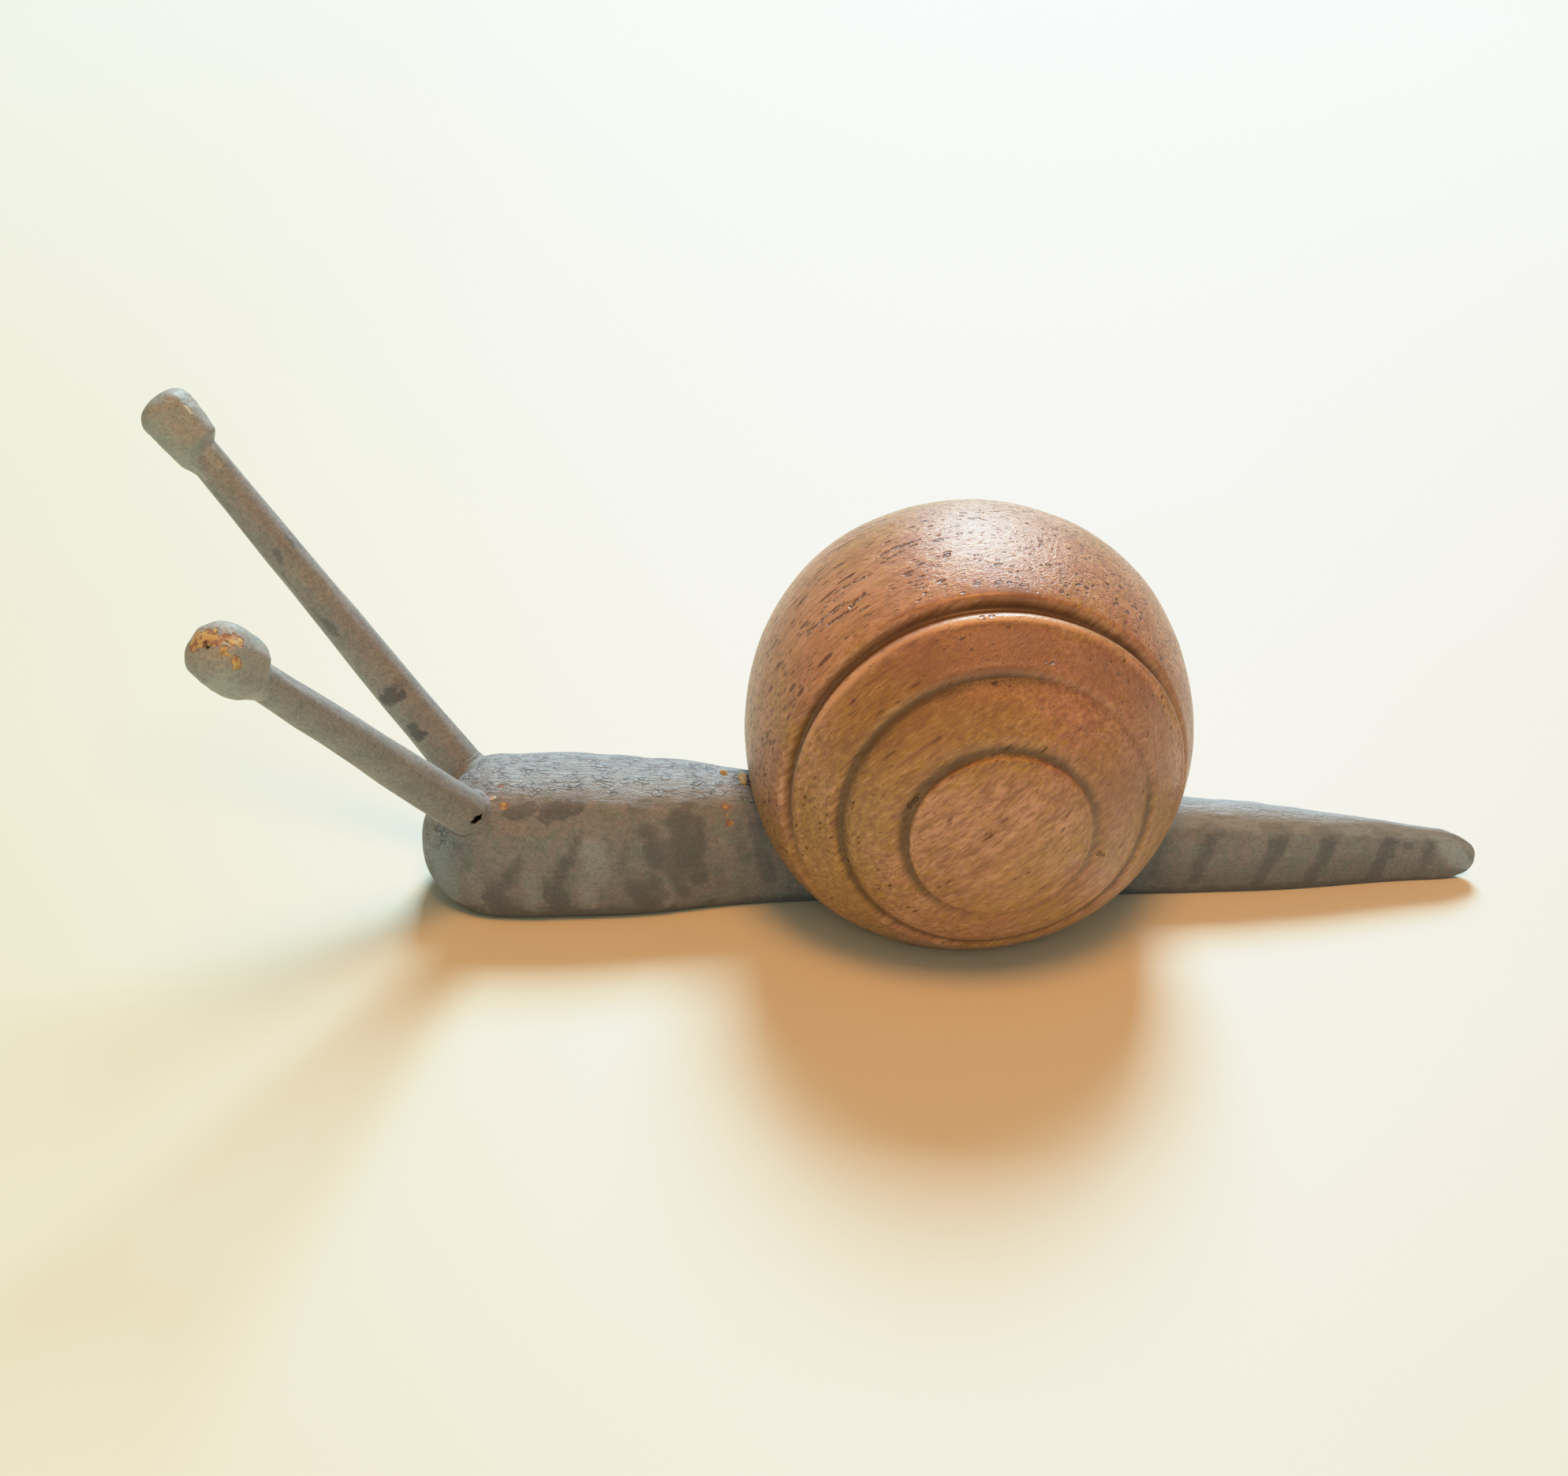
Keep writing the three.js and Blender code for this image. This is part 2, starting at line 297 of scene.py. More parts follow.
# Spots where the paint is rubbed through to orange wood: x, girth share, half size in millimetres
BARE_SPOTS = [
    (-39.45, 0.815, 0.42),
    (-39.30, 0.765, 0.34),
    (-39.20, 0.702, 0.55),
    (-20.60, 0.714, 0.50),
    (-20.45, 0.660, 0.34),
    (-20.25, 0.612, 0.50),
]
GIRTH_MM = 15.2         # length of the head's girth from foot to back
EDGE_WOBBLE = 0.22      # how far a stroke's edge wanders
HEAD_SOFTNESS = 0.65
TAIL_SOFTNESS = 0.75
UNDER_SHELL = (8, 12)   # where the head's look turns into the tail's
FOOT_EDGE = 1.1         # how dark the painted contact shade is where the foot meets the table
FOOT_DARKENING = 0.36       # how much it darkens towards the foot, and over the whole tail
TAIL_DARKENING = 0.18


def stroke_field(x, girth, roughness, strokes, softness):
    """Sum of brush strokes: how dark each point is, with a slightly darker rim where paint dried."""
    dark = np.zeros_like(x)
    light = np.zeros_like(x)
    for x0, v0, x1, v1, half_width, strength in strokes:
        w, w0, w1 = girth * GIRTH_MM, v0 * GIRTH_MM, v1 * GIRTH_MM
        dx, dw = x1 - x0, w1 - w0
        share = np.clip(((x - x0) * dx + (w - w0) * dw) / (dx * dx + dw * dw), 0, 1)
        distance = np.hypot(x - x0 - share * dx, w - w0 - share * dw)
        inside = half_width - distance + EDGE_WOBBLE * roughness
        fill = ease(-softness / 2, softness, inside)
        crisp = max(strength - 0.85, 0.0) * 1.6 * HEAD_SOFTNESS / softness
        rim = crisp * np.exp(-((inside - 0.10) / 0.15) ** 2)
        if strength > 0:
            dark = np.maximum(dark, strength * (0.8 * fill + rim))
        else:
            light = np.minimum(light, strength * fill)
    return dark + light * (1 - np.clip(dark, 0, 1))


def far_side_strokes(rng):
    """Strokes of the same kind on the side that faces away, and none alike."""
    strokes = []
    for x0, v0, x1, v1, half_width, strength in HEAD_STROKES:
        shift, lift = rng.uniform(-1.6, 1.6), rng.uniform(-0.08, 0.08)
        size = rng.uniform(0.8, 1.25)
        strokes.append((
            x0 + shift, min(max(v0 + lift, 0.03), 0.82), x1 + shift * 0.4, min(max(v1 + lift, 0.03), 0.82),
            half_width * size, strength))
    return strokes


def paint_body(obj, points, girth):
    x, y = points[:, 0], points[:, 1]
    roughness = 1.4 * wobble(points, 0.9, 51, 3)
    near = stroke_field(x, girth, roughness, HEAD_STROKES, HEAD_SOFTNESS)
    far = stroke_field(x, girth, roughness, far_side_strokes(random.Random(11)), HEAD_SOFTNESS)
    tail = stroke_field(x, girth, roughness, TAIL_STROKES, TAIL_SOFTNESS)
    on_tail = ease(*UNDER_SHELL, x)
    # Painted contact shade: a dark band along the foot's edge on the table
    foot_band = FOOT_EDGE * (1 - ease(0.0, 0.11, girth + 0.03 * roughness))
    head = np.where(y < 0, near, far)
    # The paint is made darker towards the foot and over the whole tail
    foot_and_tail_darkening = FOOT_DARKENING * (1 - ease(0.12, 0.60, girth)) + TAIL_DARKENING * on_tail
    mark = np.where(x < 0, head, tail)
    mark = mark + (foot_band + foot_and_tail_darkening) * (1 - np.clip(mark, 0, 1))
    set_attribute(obj, "mark", mark)
    bare = np.zeros_like(x)
    for centre, level, half_size in BARE_SPOTS:
        distance = np.hypot(x - centre, (girth - level) * GIRTH_MM)
        inside = half_size - distance + 0.5 * EDGE_WOBBLE * roughness
        bare = np.maximum(bare, np.where(y < 0, ease(-0.3, 0.60, inside), 0.0))
    set_attribute(obj, "bare", bare)
    # The wrinkled paint, and the painted highlight of the lit back, reach lower over the nose and the tail
    level = girth + 0.035 * roughness + 0.5 * np.maximum(-40.0 - x, 0) / 10
    level = level + 0.06 * on_tail
    set_attribute(obj, "back", ease(0.70, 0.80, level) * (1 - 0.35 * on_tail))
    set_attribute(obj, "pit", np.zeros_like(x))


# How much the carved back and the tail's end stand over the plain section at an x
BACK_LIFT = [(-44, 0), (-40.5, 0.3), (-38, 0), (-27, 0.05), (-23.6, 0.42), (-20, 0.60), (-17, 0.60), (-8, 0)]
TAIL_LIFT = [(27, 0), (33, 0.08), (38, 0.22), (43, 0.32), (47, 0.38)]
TAIL_STRETCH = 0.04
STRETCH_START = 38
# The share of its width that the tail loses between two places along it
TAIL_TAPER = 0.60
TAPER_REACH = (28, 44)
END_GIRTH = 0.4         # the girth share of the points at both ends


def build_body():
    rows = smooth_resample(BODY_STATIONS, BODY_ROWS)
    turns = full_turn(BODY_COLUMNS)
    side, height = section(rows[:, 1:2], rows[:, 2:3], rows[:, 3:4], turns[None, :])
    rings = np.stack([np.repeat(rows[:, :1], BODY_COLUMNS, axis=1), side, height], axis=2)
    girth = girth_shares(rings)

    # Knife and sandpaper leave soft flats, more across the grain than along it
    flat = rings.reshape(-1, 3)
    stretched = flat * np.array([0.45, 1.0, 1.0])
    lift = 0.16 * wobble(stretched, 4.0, 1) + 0.05 * wobble(stretched, 1.3, 2)
    middle_height = np.repeat(rings[:, :, 2].mean(axis=1), BODY_COLUMNS)
    middle = np.stack([flat[:, 0], np.zeros(len(flat)), middle_height], axis=1)
    points = pushed_out(flat, middle, lift * ease(0.05, 0.8, flat[:, 2]))
    upper = ease(0.2, 0.9, flat[:, 2] / np.maximum(middle_height * 2, 1))
    for lifts in (BACK_LIFT, TAIL_LIFT):
        points[:, 2] += np.interp(flat[:, 0], *np.array(lifts).T) * upper
    points[:, 0] += TAIL_STRETCH * np.maximum(flat[:, 0] - STRETCH_START, 0)
    points[:, 1] *= 1 - TAIL_TAPER * ease(*TAPER_REACH, flat[:, 0])
    rings = points.reshape(rings.shape)
    obj = skin("body_painted", rings)
    girth_all = np.concatenate([girth.ravel(), [END_GIRTH, END_GIRTH]])
    points_all = np.array([vertex.co for vertex in obj.data.vertices]) / MM
    paint_body(obj, points_all, girth_all)
    return obj


# --- Shell --------------------------------------------------------------------------------

SHELL_SQUARENESS = 2.07
SHELL_COLUMNS = 480
SLOT_CLEARANCE = 0.05
# The lathe's axis leans this many degrees from -Y towards +X and towards the table
AXIS_LEAN = (1.6, 0.4)
# Each turned ring: its profile as (degrees from the ring axis, height over the ball in
# millimetres), how far it sits off the axis to the right and upwards in degrees, and how
# strongly it is cut at turns round the axis, where 0 is the tail's side and 90 is the top
HUB_RING = {
    "profile": [(21.7, 0), (22.2, 0.03), (22.8, -0.22), (23.4, -0.38), (24.4, -0.34), (26.0, -0.14),
                (27.8, 0)],
    "shift": (-0.5, -1.0),
    "strength": [(0, 0.7), (90, 1.0), (180, 1.15), (230, 0.7), (270, 0.35), (320, 0.6), (360, 0.7)],
}
MIDDLE_RING = {
    "profile": [(35.5, 0), (38.0, -0.11), (40.6, -0.34), (41.6, -0.44), (42.2, -0.30), (43.0, 0.0),
                (44.0, 0.10), (45.0, 0.02), (46.2, 0)],
    "shift": (-0.3, -0.8),
    "strength": [(0, 0.9), (20, 0.5), (60, 0.5), (90, 0.9), (180, 1.1), (270, 0.8), (360, 0.9)],
}
OUTER_RING = {
    "profile": [(52.8, 0), (53.5, 0.03), (54.0, 0.15), (55.4, 0.21), (56.3, 0.10), (57.2, -0.24),
                (58.0, -0.62), (58.8, -0.92), (59.6, -1.02), (60.2, -0.92), (60.8, -0.45),
                (61.4, -0.12), (62.4, 0)],
    "shift": (0.0, 0.0),
    "strength": [(0, 0.35), (20, 0.5), (45, 1), (185, 1), (205, 0.6), (230, 0.3), (320, 0.25),
                 (360, 0.35)],
}
# The outer ring narrows towards the tail's side, by this factor at turns round the axis
OUTER_RING_WALL = 60.2
OUTER_RING_SQUEEZE = [
    (0, 2.0), (20, 1.8), (45, 1.2), (70, 1.0), (200, 1.0), (240, 1.3), (300, 1.8), (360, 2.0),
]
# Where hand sanding left the ball fuller: direction, height in millimetres, spread in degrees
FULLER_SPOTS = [
    ((-0.73, -0.28, -0.61), 0.60, 30),
    ((-0.66, 0.35, 0.66), 0.24, 25),
    ((0.73, 0.28, 0.61), 0.30, 25),
]
PROFILE_SOFTNESS = 0.28
# Colour patches of the ball: angle from the ring axis, turn, spread, all in degrees, how golden the wood is
# there and how pale (or dark, below zero); the paleness is partly the wood's tone and partly painted light
# and shade, lighter on the hub and parts of the outside, darker on the disc under the lip and towards the
# tail
SHELL_TINTS = [
    (31, 122, 17, 1.20, -0.30),
    (48, 92, 13, 0.40, -1.10),
    (47, 150, 14, 0.90, -0.25),
    (70, 215, 18, 0.90, 0.15),
    (58, 250, 18, 0.60, 0.10),
    (12, 290, 17, -0.10, 0.30),
    (33, 15, 16, -0.10, -0.60),
    (55, 38, 13, 0.00, -0.55),
    (49, 60, 8, 0.10, -0.55),
    (49, 120, 9, 0.30, -0.50),
    (38, 178, 13, 0.30, -0.10),
    (76, 5, 20, 0.20, -0.60),
    (74, 135, 24, -0.80, 0.45),
    (85, 90, 18, -0.40, 0.30),
    (63, 85, 5, 0.00, -0.60),
]
LIP_ANGLE = 55.2
# The grain was sanded smoother round the outer groove: its angle and reach in degrees
GROOVE_ANGLE = 60.0
CALM_SPREAD = 4.5
OUTSIDE_REACH = (52, 61)    # between these angles the disc ends and the ball's outside begins
LIP_WIDTH = 1.1
LIP_HIGHLIGHT_TURN = 92        # the turn where the lip's painted highlight is brightest, and how far that reaches
LIP_HIGHLIGHT_SPREAD = 16
FULL_DEPTHS = (1.0, 0.42, 0.36)     # depths at which the outer, middle and hub ring are darkest, with dirt and painted shade
# Steps between the rows of points in degrees, and the zones that get the fine ones
FINE_STEP = 0.25
PLAIN_STEP = 0.8
FINE_ZONES = [(19, 30), (33, 48), (51, 65)]


def ring_height(ring, angle, turn):
    """Height of one ring's profile over the ball, softened as sanding softens an edge."""
    degrees, heights = np.array(ring["profile"]).T
    fine = np.arange(degrees[0] - 2, degrees[-1] + 2, 0.05)
    kernel = np.exp(-0.5 * (np.arange(-20, 21) * 0.05 / PROFILE_SOFTNESS) ** 2)
    soft = np.convolve(np.interp(fine, degrees, heights), kernel / kernel.sum(), mode="same")
    right, up = ring["shift"]
    place = angle - right * np.cos(turn) - up * np.sin(turn)
    strength = np.interp(np.degrees(turn), *np.array(ring["strength"]).T)
    return strength * np.interp(place, fine, soft)


def ring_cuts(angle, turn):
    """Depth of the turned rings at an angle from the ring axis, and a share from 0 to 1 for how dark the
    grooves are, dirt and painted shade together.
    """
    squeeze = np.interp(np.degrees(turn), *np.array(OUTER_RING_SQUEEZE).T)
    inward = OUTER_RING_WALL - angle
    squeezed = np.where(inward > 0, OUTER_RING_WALL - inward * squeeze, angle)
    heights = [
        ring_height(OUTER_RING, squeezed, turn),
        ring_height(MIDDLE_RING, angle, turn),
        ring_height(HUB_RING, angle, turn),
    ]
    dark_share = np.zeros_like(angle)
    for height, full in zip(heights, FULL_DEPTHS):
        dark_share = np.maximum(dark_share, np.clip(-height / full, 0, 1) ** 1.3)
    return -sum(heights), dark_share


def shell_angles():
    """Angles from one end of the ring axis to the other, closer together around the rings."""
    angles = [0.4]
    while angles[-1] < 179.6:
        from_axis = min(angles[-1], 180 - angles[-1])
        fine = any(low < from_axis < high for low, high in FINE_ZONES)
        angles.append(angles[-1] + (FINE_STEP if fine else PLAIN_STEP))
    return np.array(angles[:-1])


def slot_cutter():
    """The body's own shape with straight walls down from the waist, as in the real slot."""
    reach = SHELL_RADIUS + 3
    columns = 96
    xs = np.linspace(SHELL_CENTRE[0] - reach, SHELL_CENTRE[0] + reach, 120)
    half_width, top, foot = body_profile(xs)
    half_width = half_width[:, None] + SLOT_CLEARANCE
    turns = full_turn(columns)[None, :]
    up, across = np.sin(turns), np.cos(turns)
    side, height = section(half_width, top[:, None] + SLOT_CLEARANCE, foot[:, None], turns)
    waist = (WAIST * top)[:, None]
    corner = math.sqrt(0.5)
    side = np.where(up < 0, half_width * np.clip(across / corner, -1, 1), side)
    height = np.where(up < 0, waist + (-1 - waist) * np.clip(-up / corner, 0, 1), height)
    rings = np.stack([np.repeat(xs[:, None], columns, axis=1), side, height], axis=2)
    return skin("slot", rings)


def table_cutter():
    size = 3 * SHELL_RADIUS
    corners = [(x, y, z) for x in (-size, size) for y in (-size, size) for z in (-size, 0)]
    faces = [(0, 1, 3, 2), (4, 6, 7, 5), (0, 4, 5, 1), (2, 3, 7, 6), (0, 2, 6, 4), (1, 5, 7, 3)]
    return face_outward(link("table", corners, faces, smooth=False))


def shell_tints(polar, turn):
    """How golden and how pale each point is; the paleness holds painted light and shade as well as the wood's
    tone, and a painted highlight along the lip.
    """
    golden, pale = np.zeros_like(polar), np.zeros_like(polar)
    for angle, facing, spread, gold, light in SHELL_TINTS:
        angle, facing = math.radians(angle), math.radians(facing)
        near = np.cos(polar) * math.cos(angle) + np.sin(polar) * math.sin(angle) * np.cos(turn - facing)
        weight = np.exp(-(np.degrees(np.arccos(np.clip(near, -1, 1))) / spread) ** 2)
        golden += gold * weight
        pale += light * weight
    # A painted highlight along the upper half of the lip, whitest near the top
    lip = np.exp(-((np.degrees(polar) - LIP_ANGLE) / LIP_WIDTH) ** 2)
    lip_highlight = np.exp(-((np.degrees(turn) - LIP_HIGHLIGHT_TURN) / LIP_HIGHLIGHT_SPREAD) ** 2)
    pale += (0.9 + 1.3 * lip_highlight) * lip * ease(0, 0.6, np.sin(turn))
    return {"golden": golden, "pale": pale}


def build_shell():
    angle = np.repeat(shell_angles()[:, None], SHELL_COLUMNS, axis=1)
    turn = np.repeat(full_turn(SHELL_COLUMNS)[None, :], len(angle), axis=0)
    polar = np.radians(angle)
    unit = np.stack([
        np.sin(polar) * np.cos(turn),
        -np.cos(polar),
        np.sin(polar) * np.sin(turn),
    ], axis=2).reshape(-1, 3)
    aside, down = (math.radians(degrees) for degrees in AXIS_LEAN)
    lean = Matrix.Rotation(aside, 3, "Z") @ Matrix.Rotation(down, 3, "X")
    unit = unit @ np.array(lean).T
    roundness = np.hypot(unit[:, 0], unit[:, 2]) ** SHELL_SQUARENESS + np.abs(unit[:, 1]) ** SHELL_SQUARENESS
    radius = SHELL_RADIUS * roundness ** (-1 / SHELL_SQUARENESS)
    from_axis = np.minimum(angle, 180 - angle)
    depth, dark_share = ring_cuts(from_axis, turn)
    # The finished ball was sanded by hand, so it is a hair out of round
    out_of_round = 0.09 * wobble(unit * SHELL_RADIUS, 14.0, 5) + 0.03 * wobble(unit * SHELL_RADIUS, 4.0, 6)
    for direction, height, spread in FULLER_SPOTS:
        toward = unit_vector(direction)
        away = np.degrees(np.arccos(np.clip(unit @ toward, -1, 1)))
        out_of_round += height * np.exp(-(away / spread) ** 2)
    points = unit * (radius - depth.ravel() + out_of_round - 0.06)[:, None] + SHELL_CENTRE
    rings = points.reshape(len(angle), SHELL_COLUMNS, 3)
    obj = skin("shell_turned", rings)
    calm = np.exp(-((from_axis - GROOVE_ANGLE) / CALM_SPREAD) ** 2)
    looks = {"groove": dark_share, "calm": calm, "outside": ease(*OUTSIDE_REACH, from_axis)}
    looks.update(shell_tints(polar, turn))
    for name, values in looks.items():
        set_attribute(obj, name, values)
    cut_away(obj, table_cutter())
    cut_away(obj, slot_cutter())
    return obj


# --- Tentacles ----------------------------------------------------------------------------

STALK_ROWS = 200
STALK_COLUMNS = 64
BEAD_ROWS = 110
BEAD_COLUMNS = 96
HOLE_CLEARANCE = 0.12
BEAD_FLATS = 8
ROUNDING_PASSES = 6
CAP_LENGTH = 2.0
TENON = 4.2             # how much of a stick is glued inside the head
FILLET_ROWS = 140
FILLET_STEPS = 12
FILLET_RISE = 0.55
FILLET_REACH = 0.50
FILLET_ROOT = 0.35      # how deep the fillet's hidden back lies under both surfaces
OPEN_SLOT = ((-41.8, -6.35, 9.75), (-40.95, -5.55, 10.15))
DEGREE_MM = 0.03        # arc of one degree on a stick's surface


class Tentacle:
    """Axis, lengths and radii of one tentacle, measured on its CAD nodes."""

    def __init__(self, side):
        stalk = node_points(f"{side}_stalk")
        bead = node_points(f"{side}_eye_bead")
        centre = stalk.mean(axis=0)
        axis = np.linalg.svd(stalk - centre)[2][0]
        self.axis = axis * np.sign(axis[2])
        self.foot = centre + self.axis * ((stalk - centre) @ self.axis).min()
        self.u = unit_vector(np.cross(self.axis, [0.0, 0.0, 1.0]))
        self.v = np.cross(self.u, self.axis)
        distance = self.distances(stalk)
        self.root_radius = distance.max()
        bead_along = (bead - self.foot) @ self.axis
        self.bead_back = bead_along.min()
        self.bead_end = bead_along.max()
        self.bead_radius = self.distances(bead).max()
        at_shoulder = np.abs((stalk - self.foot) @ self.axis - self.bead_back) < 0.6
        self.tip_radius = distance[at_shoulder].max()

    def distances(self, points):
        offset = points - self.foot
        return np.linalg.norm(offset - np.outer(offset @ self.axis, self.axis), axis=1)

    def place(self, along, radius, turn):
        """Points on the tentacle at a distance along its axis, a radius and a turn about it.

        A turn of 90 degrees is the upper side."""
        along = np.asarray(along)
        points = self.foot + along[..., None] * self.axis
        points = points + (radius * np.cos(turn))[..., None] * self.u
        return points + (radius * np.sin(turn))[..., None] * self.v

    def stalk_radius(self, along):
        share = np.clip(along / self.bead_back, 0, 1)
        return self.root_radius + (self.tip_radius - self.root_radius) * share


def lattice(tentacle, alongs, radii, columns):
    """Rings of points at the given distances, with radii as rows x columns."""
    along = np.repeat(alongs[:, None], columns, axis=1)
    return tentacle.place(along, radii, np.repeat(full_turn(columns)[None, :], len(alongs), axis=0))


def surface_frame(tentacle):
    """The turn about the stick that faces the snail's left side and a little upwards."""
    toward = np.array([0.0, -0.88, 0.47])
    return math.atan2(toward @ tentacle.v, toward @ tentacle.u)


# Thin smudges on the stalks: distance from where it leaves the head as a share of the way
# to the bead, degrees round it from the side that faces left, half length, half width, strength
STALK_SMUDGES = {
    "left": [(0.55, 60, 1.6, 0.12, 0.5), (0.32, 75, 1.0, 0.10, 0.5)],
    "right": [(0.14, 32, 0.95, 0.66, 1.25), (0.175, 5, 0.8, 0.7, 0.45), (0.250, 22, 0.90, 1.25, 1.25),
              (0.262, -10, 0.55, 0.75, 1.0), (0.47, 30, 1.05, 0.50, 1.1), (0.50, 42, 1.6, 0.16, 0.8),
              (0.61, 45, 1.7, 0.20, 0.8), (0.68, 18, 0.75, 0.42, 1.0), (0.70, -45, 0.6, 0.30, 0.8)],
}
# Where the beads' paint came off: capsules between two points measured from the bead's tip,
# half width and strength; then the dark specks in them
BEAD_PATCHES = {
    "left": [
        ((-0.6, 0.6, 0.1), (0.6, 0.25, 0.35), 0.85, 1.0),
        ((1.4, 0.0, 0.25), (2.4, 0.1, 0.2), 0.50, 1.0),
        ((1.6, -0.5, -0.2), (2.45, -0.7, -1.35), 0.44, 1.0),
    ],
    "right": [],
}
BEAD_SPECKS = {
    "left": [
        ((0.15, -0.1, 0.0), (0.5, -0.4, -0.1), 0.22, 1.0),
        ((1.6, 0.0, 0.25), (1.85, -0.15, 0.15), 0.22, 0.9),
        ((1.3, -0.4, -0.2), (1.5, -0.6, -0.4), 0.20, 0.9),
        ((-1.1, 0.9, -0.3), (-1.3, 0.7, -0.9), 0.12, 0.5),
    ],
    "right": [((1.2, -2.7, -0.9), (1.7, -2.7, -1.2), 0.5, 0.30)],
}


def capsule_field(points, roughness, capsules):
    """Strength of soft-edged capsules at points."""
    field = np.zeros(len(points))
    for start, end, half_width, strength in capsules:
        start, end = np.array(start), np.array(end)
        along = end - start
        share = np.clip((points - start) @ along / (along @ along), 0, 1)
        distance = np.linalg.norm(points - start - share[:, None] * along, axis=1)
        inside = half_width - distance + 0.22 * roughness
        field = np.maximum(field, strength * ease(-0.12, 0.16, inside))
    return field


def spot_field(along, arc, roughness, spots):
    """Strength of oval spots, given as positions along the stick and degrees round it."""
    field = np.zeros_like(along)
    for centre, turn, half_length, half_width, strength in spots:
        around = arc - turn * DEGREE_MM
        near = np.sqrt(((along - centre) / half_length) ** 2 + (around / half_width) ** 2)
        inside = 1 - near + 0.45 * roughness
        rim = 0.3 * np.exp(-((inside - 0.2) / 0.16) ** 2)
        field = np.maximum(field, strength * (0.75 * ease(-0.15, 0.5, inside) + rim * (inside > -0.3)))
    return field


def build_stalk(side, tentacle, seed):
    alongs = np.linspace(0, tentacle.bead_back + 0.8, STALK_ROWS)
    turns = full_turn(STALK_COLUMNS)
    radii = np.repeat(tentacle.stalk_radius(alongs)[:, None], STALK_COLUMNS, axis=1)
    # Whittled strokes run along the stick and leave shallow flats
    around = np.stack([
        np.repeat(alongs[:, None] * 0.18, STALK_COLUMNS, axis=1),
        np.repeat(2.2 * np.cos(turns)[None, :], len(alongs), axis=0),
        np.repeat(2.2 * np.sin(turns)[None, :], len(alongs), axis=0),
    ], axis=2).reshape(-1, 3)
    radii = radii + (0.09 * wobble(around, 1.6, seed)).reshape(radii.shape)
    rings = lattice(tentacle, alongs, radii, STALK_COLUMNS)
    obj = skin(f"{side}_stalk_painted", rings)
    flat = rings.reshape(-1, 3)
    arc = turn_arc(turns, tentacle, len(alongs))
    along = np.repeat(alongs, STALK_COLUMNS)
    shown = tentacle.bead_back - TENON
    spots = [(TENON + share * shown, *rest) for share, *rest in STALK_SMUDGES[side]]
    smudge = spot_field(along, arc, 1.4 * wobble(flat, 0.7, 60 + seed, 3), spots)
    set_attribute(obj, "mark", smudge)
    set_attribute(obj, "pit", 0.65 * ease(0.8, 1.15, smudge))
    return obj


def turn_arc(turns, tentacle, rows):
    """Distance round the stick in millimetres from the side that faces left, for a whole lattice."""
    facing = surface_frame(tentacle)
    away = (turns - facing + math.pi) % (2 * math.pi) - math.pi
    return np.tile(np.degrees(away) * DEGREE_MM, rows)


def whittle(radii, alongs, turns, middle, full, rng):
    """Clips a lattice of radii to a few uneven flats, as a knife leaves them."""
    for number in range(BEAD_FLATS):
        facing = 2 * math.pi * (number + rng.uniform(-0.22, 0.22)) / BEAD_FLATS
        slope = rng.uniform(-0.10, 0.10)
        reach = full * rng.uniform(0.93, 1.0)
        across = np.cos(turns - facing)[None, :]
        limit = (reach - (alongs[:, None] - middle) * slope) / np.maximum(across, 0.15)
        radii = np.where(across > 0.15, np.minimum(radii, np.maximum(limit, 0.2)), radii)
    for _ in range(ROUNDING_PASSES):
        radii = (2 * radii + np.roll(radii, 1, axis=1) + np.roll(radii, -1, axis=1)) / 4
        padded = np.pad(radii, ((1, 1), (0, 0)), mode="edge")
        radii = (2 * radii + padded[:-2] + padded[2:]) / 4
    return radii


def build_bead(side, tentacle, seed):
    back, end, full = tentacle.bead_back, tentacle.bead_end, tentacle.bead_radius
    start = back - 2.4
    share = np.linspace(0, 1, BEAD_ROWS)
    alongs = start + (end - start) * np.sin(share * math.pi / 2) ** 0.9
    turns = full_turn(BEAD_COLUMNS)
    upper = (1 + np.sin(turns)) / 2
    upper = upper[None, :] ** 0.8
    along = alongs[:, None]
    # Square shoulder on the upper side, a paint-filled slope on the lower side
    neck = tentacle.stalk_radius(along) * 0.985
    rise = ease(0, 1, (along - back + 2.3 - 2.2 * upper) / (3.4 - 2.9 * upper))
    swell = 0.97 + 0.05 * ease(back, back + 1.5, along)
    radii = neck + (full * swell - neck) * rise
    radii = whittle(radii, alongs, turns, (back + end) / 2 + 0.6, full, random.Random(seed))
    into_cap = np.clip((along - (end - CAP_LENGTH)) / CAP_LENGTH, 0, 1)
    radii = np.maximum(radii * (1 - into_cap ** 2.7) ** (1 / 2.1), 0.01)
    rings = lattice(tentacle, alongs, radii, BEAD_COLUMNS)
    flat = rings.reshape(-1, 3)
    axis_points = tentacle.foot + np.repeat(alongs, BEAD_COLUMNS)[:, None] * tentacle.axis
    fade = np.repeat(ease(0.0, 0.35, 1 - share) * ease(0.0, 0.15, share), BEAD_COLUMNS)
    roughness = 1.4 * wobble(flat, 0.45, 70 + seed, 3)
    from_tip = flat - (tentacle.foot + end * tentacle.axis)
    bare = capsule_field(from_tip, roughness, BEAD_PATCHES[side])
    dark = capsule_field(from_tip, roughness, BEAD_SPECKS[side])
    lift = 0.09 * wobble(flat, 2.2, seed) + 0.03 * wobble(flat, 0.7, seed + 1)
    lift = lift - 0.06 * bare - 0.10 * dark
    rings = pushed_out(flat, axis_points, lift * fade).reshape(rings.shape)
    obj = skin(f"{side}_bead_painted", rings)
    set_attribute(obj, "bare", bare)
    set_attribute(obj, "mark", 0.4 * dark * (1 - bare))
    set_attribute(obj, "pit", dark * ease(0.5, 0.9, dark))
    return obj


def hole_cutter(tentacle):
    rows, columns = 40, 48
    alongs = np.linspace(-0.3, tentacle.bead_back * 0.5, rows)
    radii = np.full((rows, columns), tentacle.root_radius + HOLE_CLEARANCE)
    return skin("hole", lattice(tentacle, alongs, radii, columns))


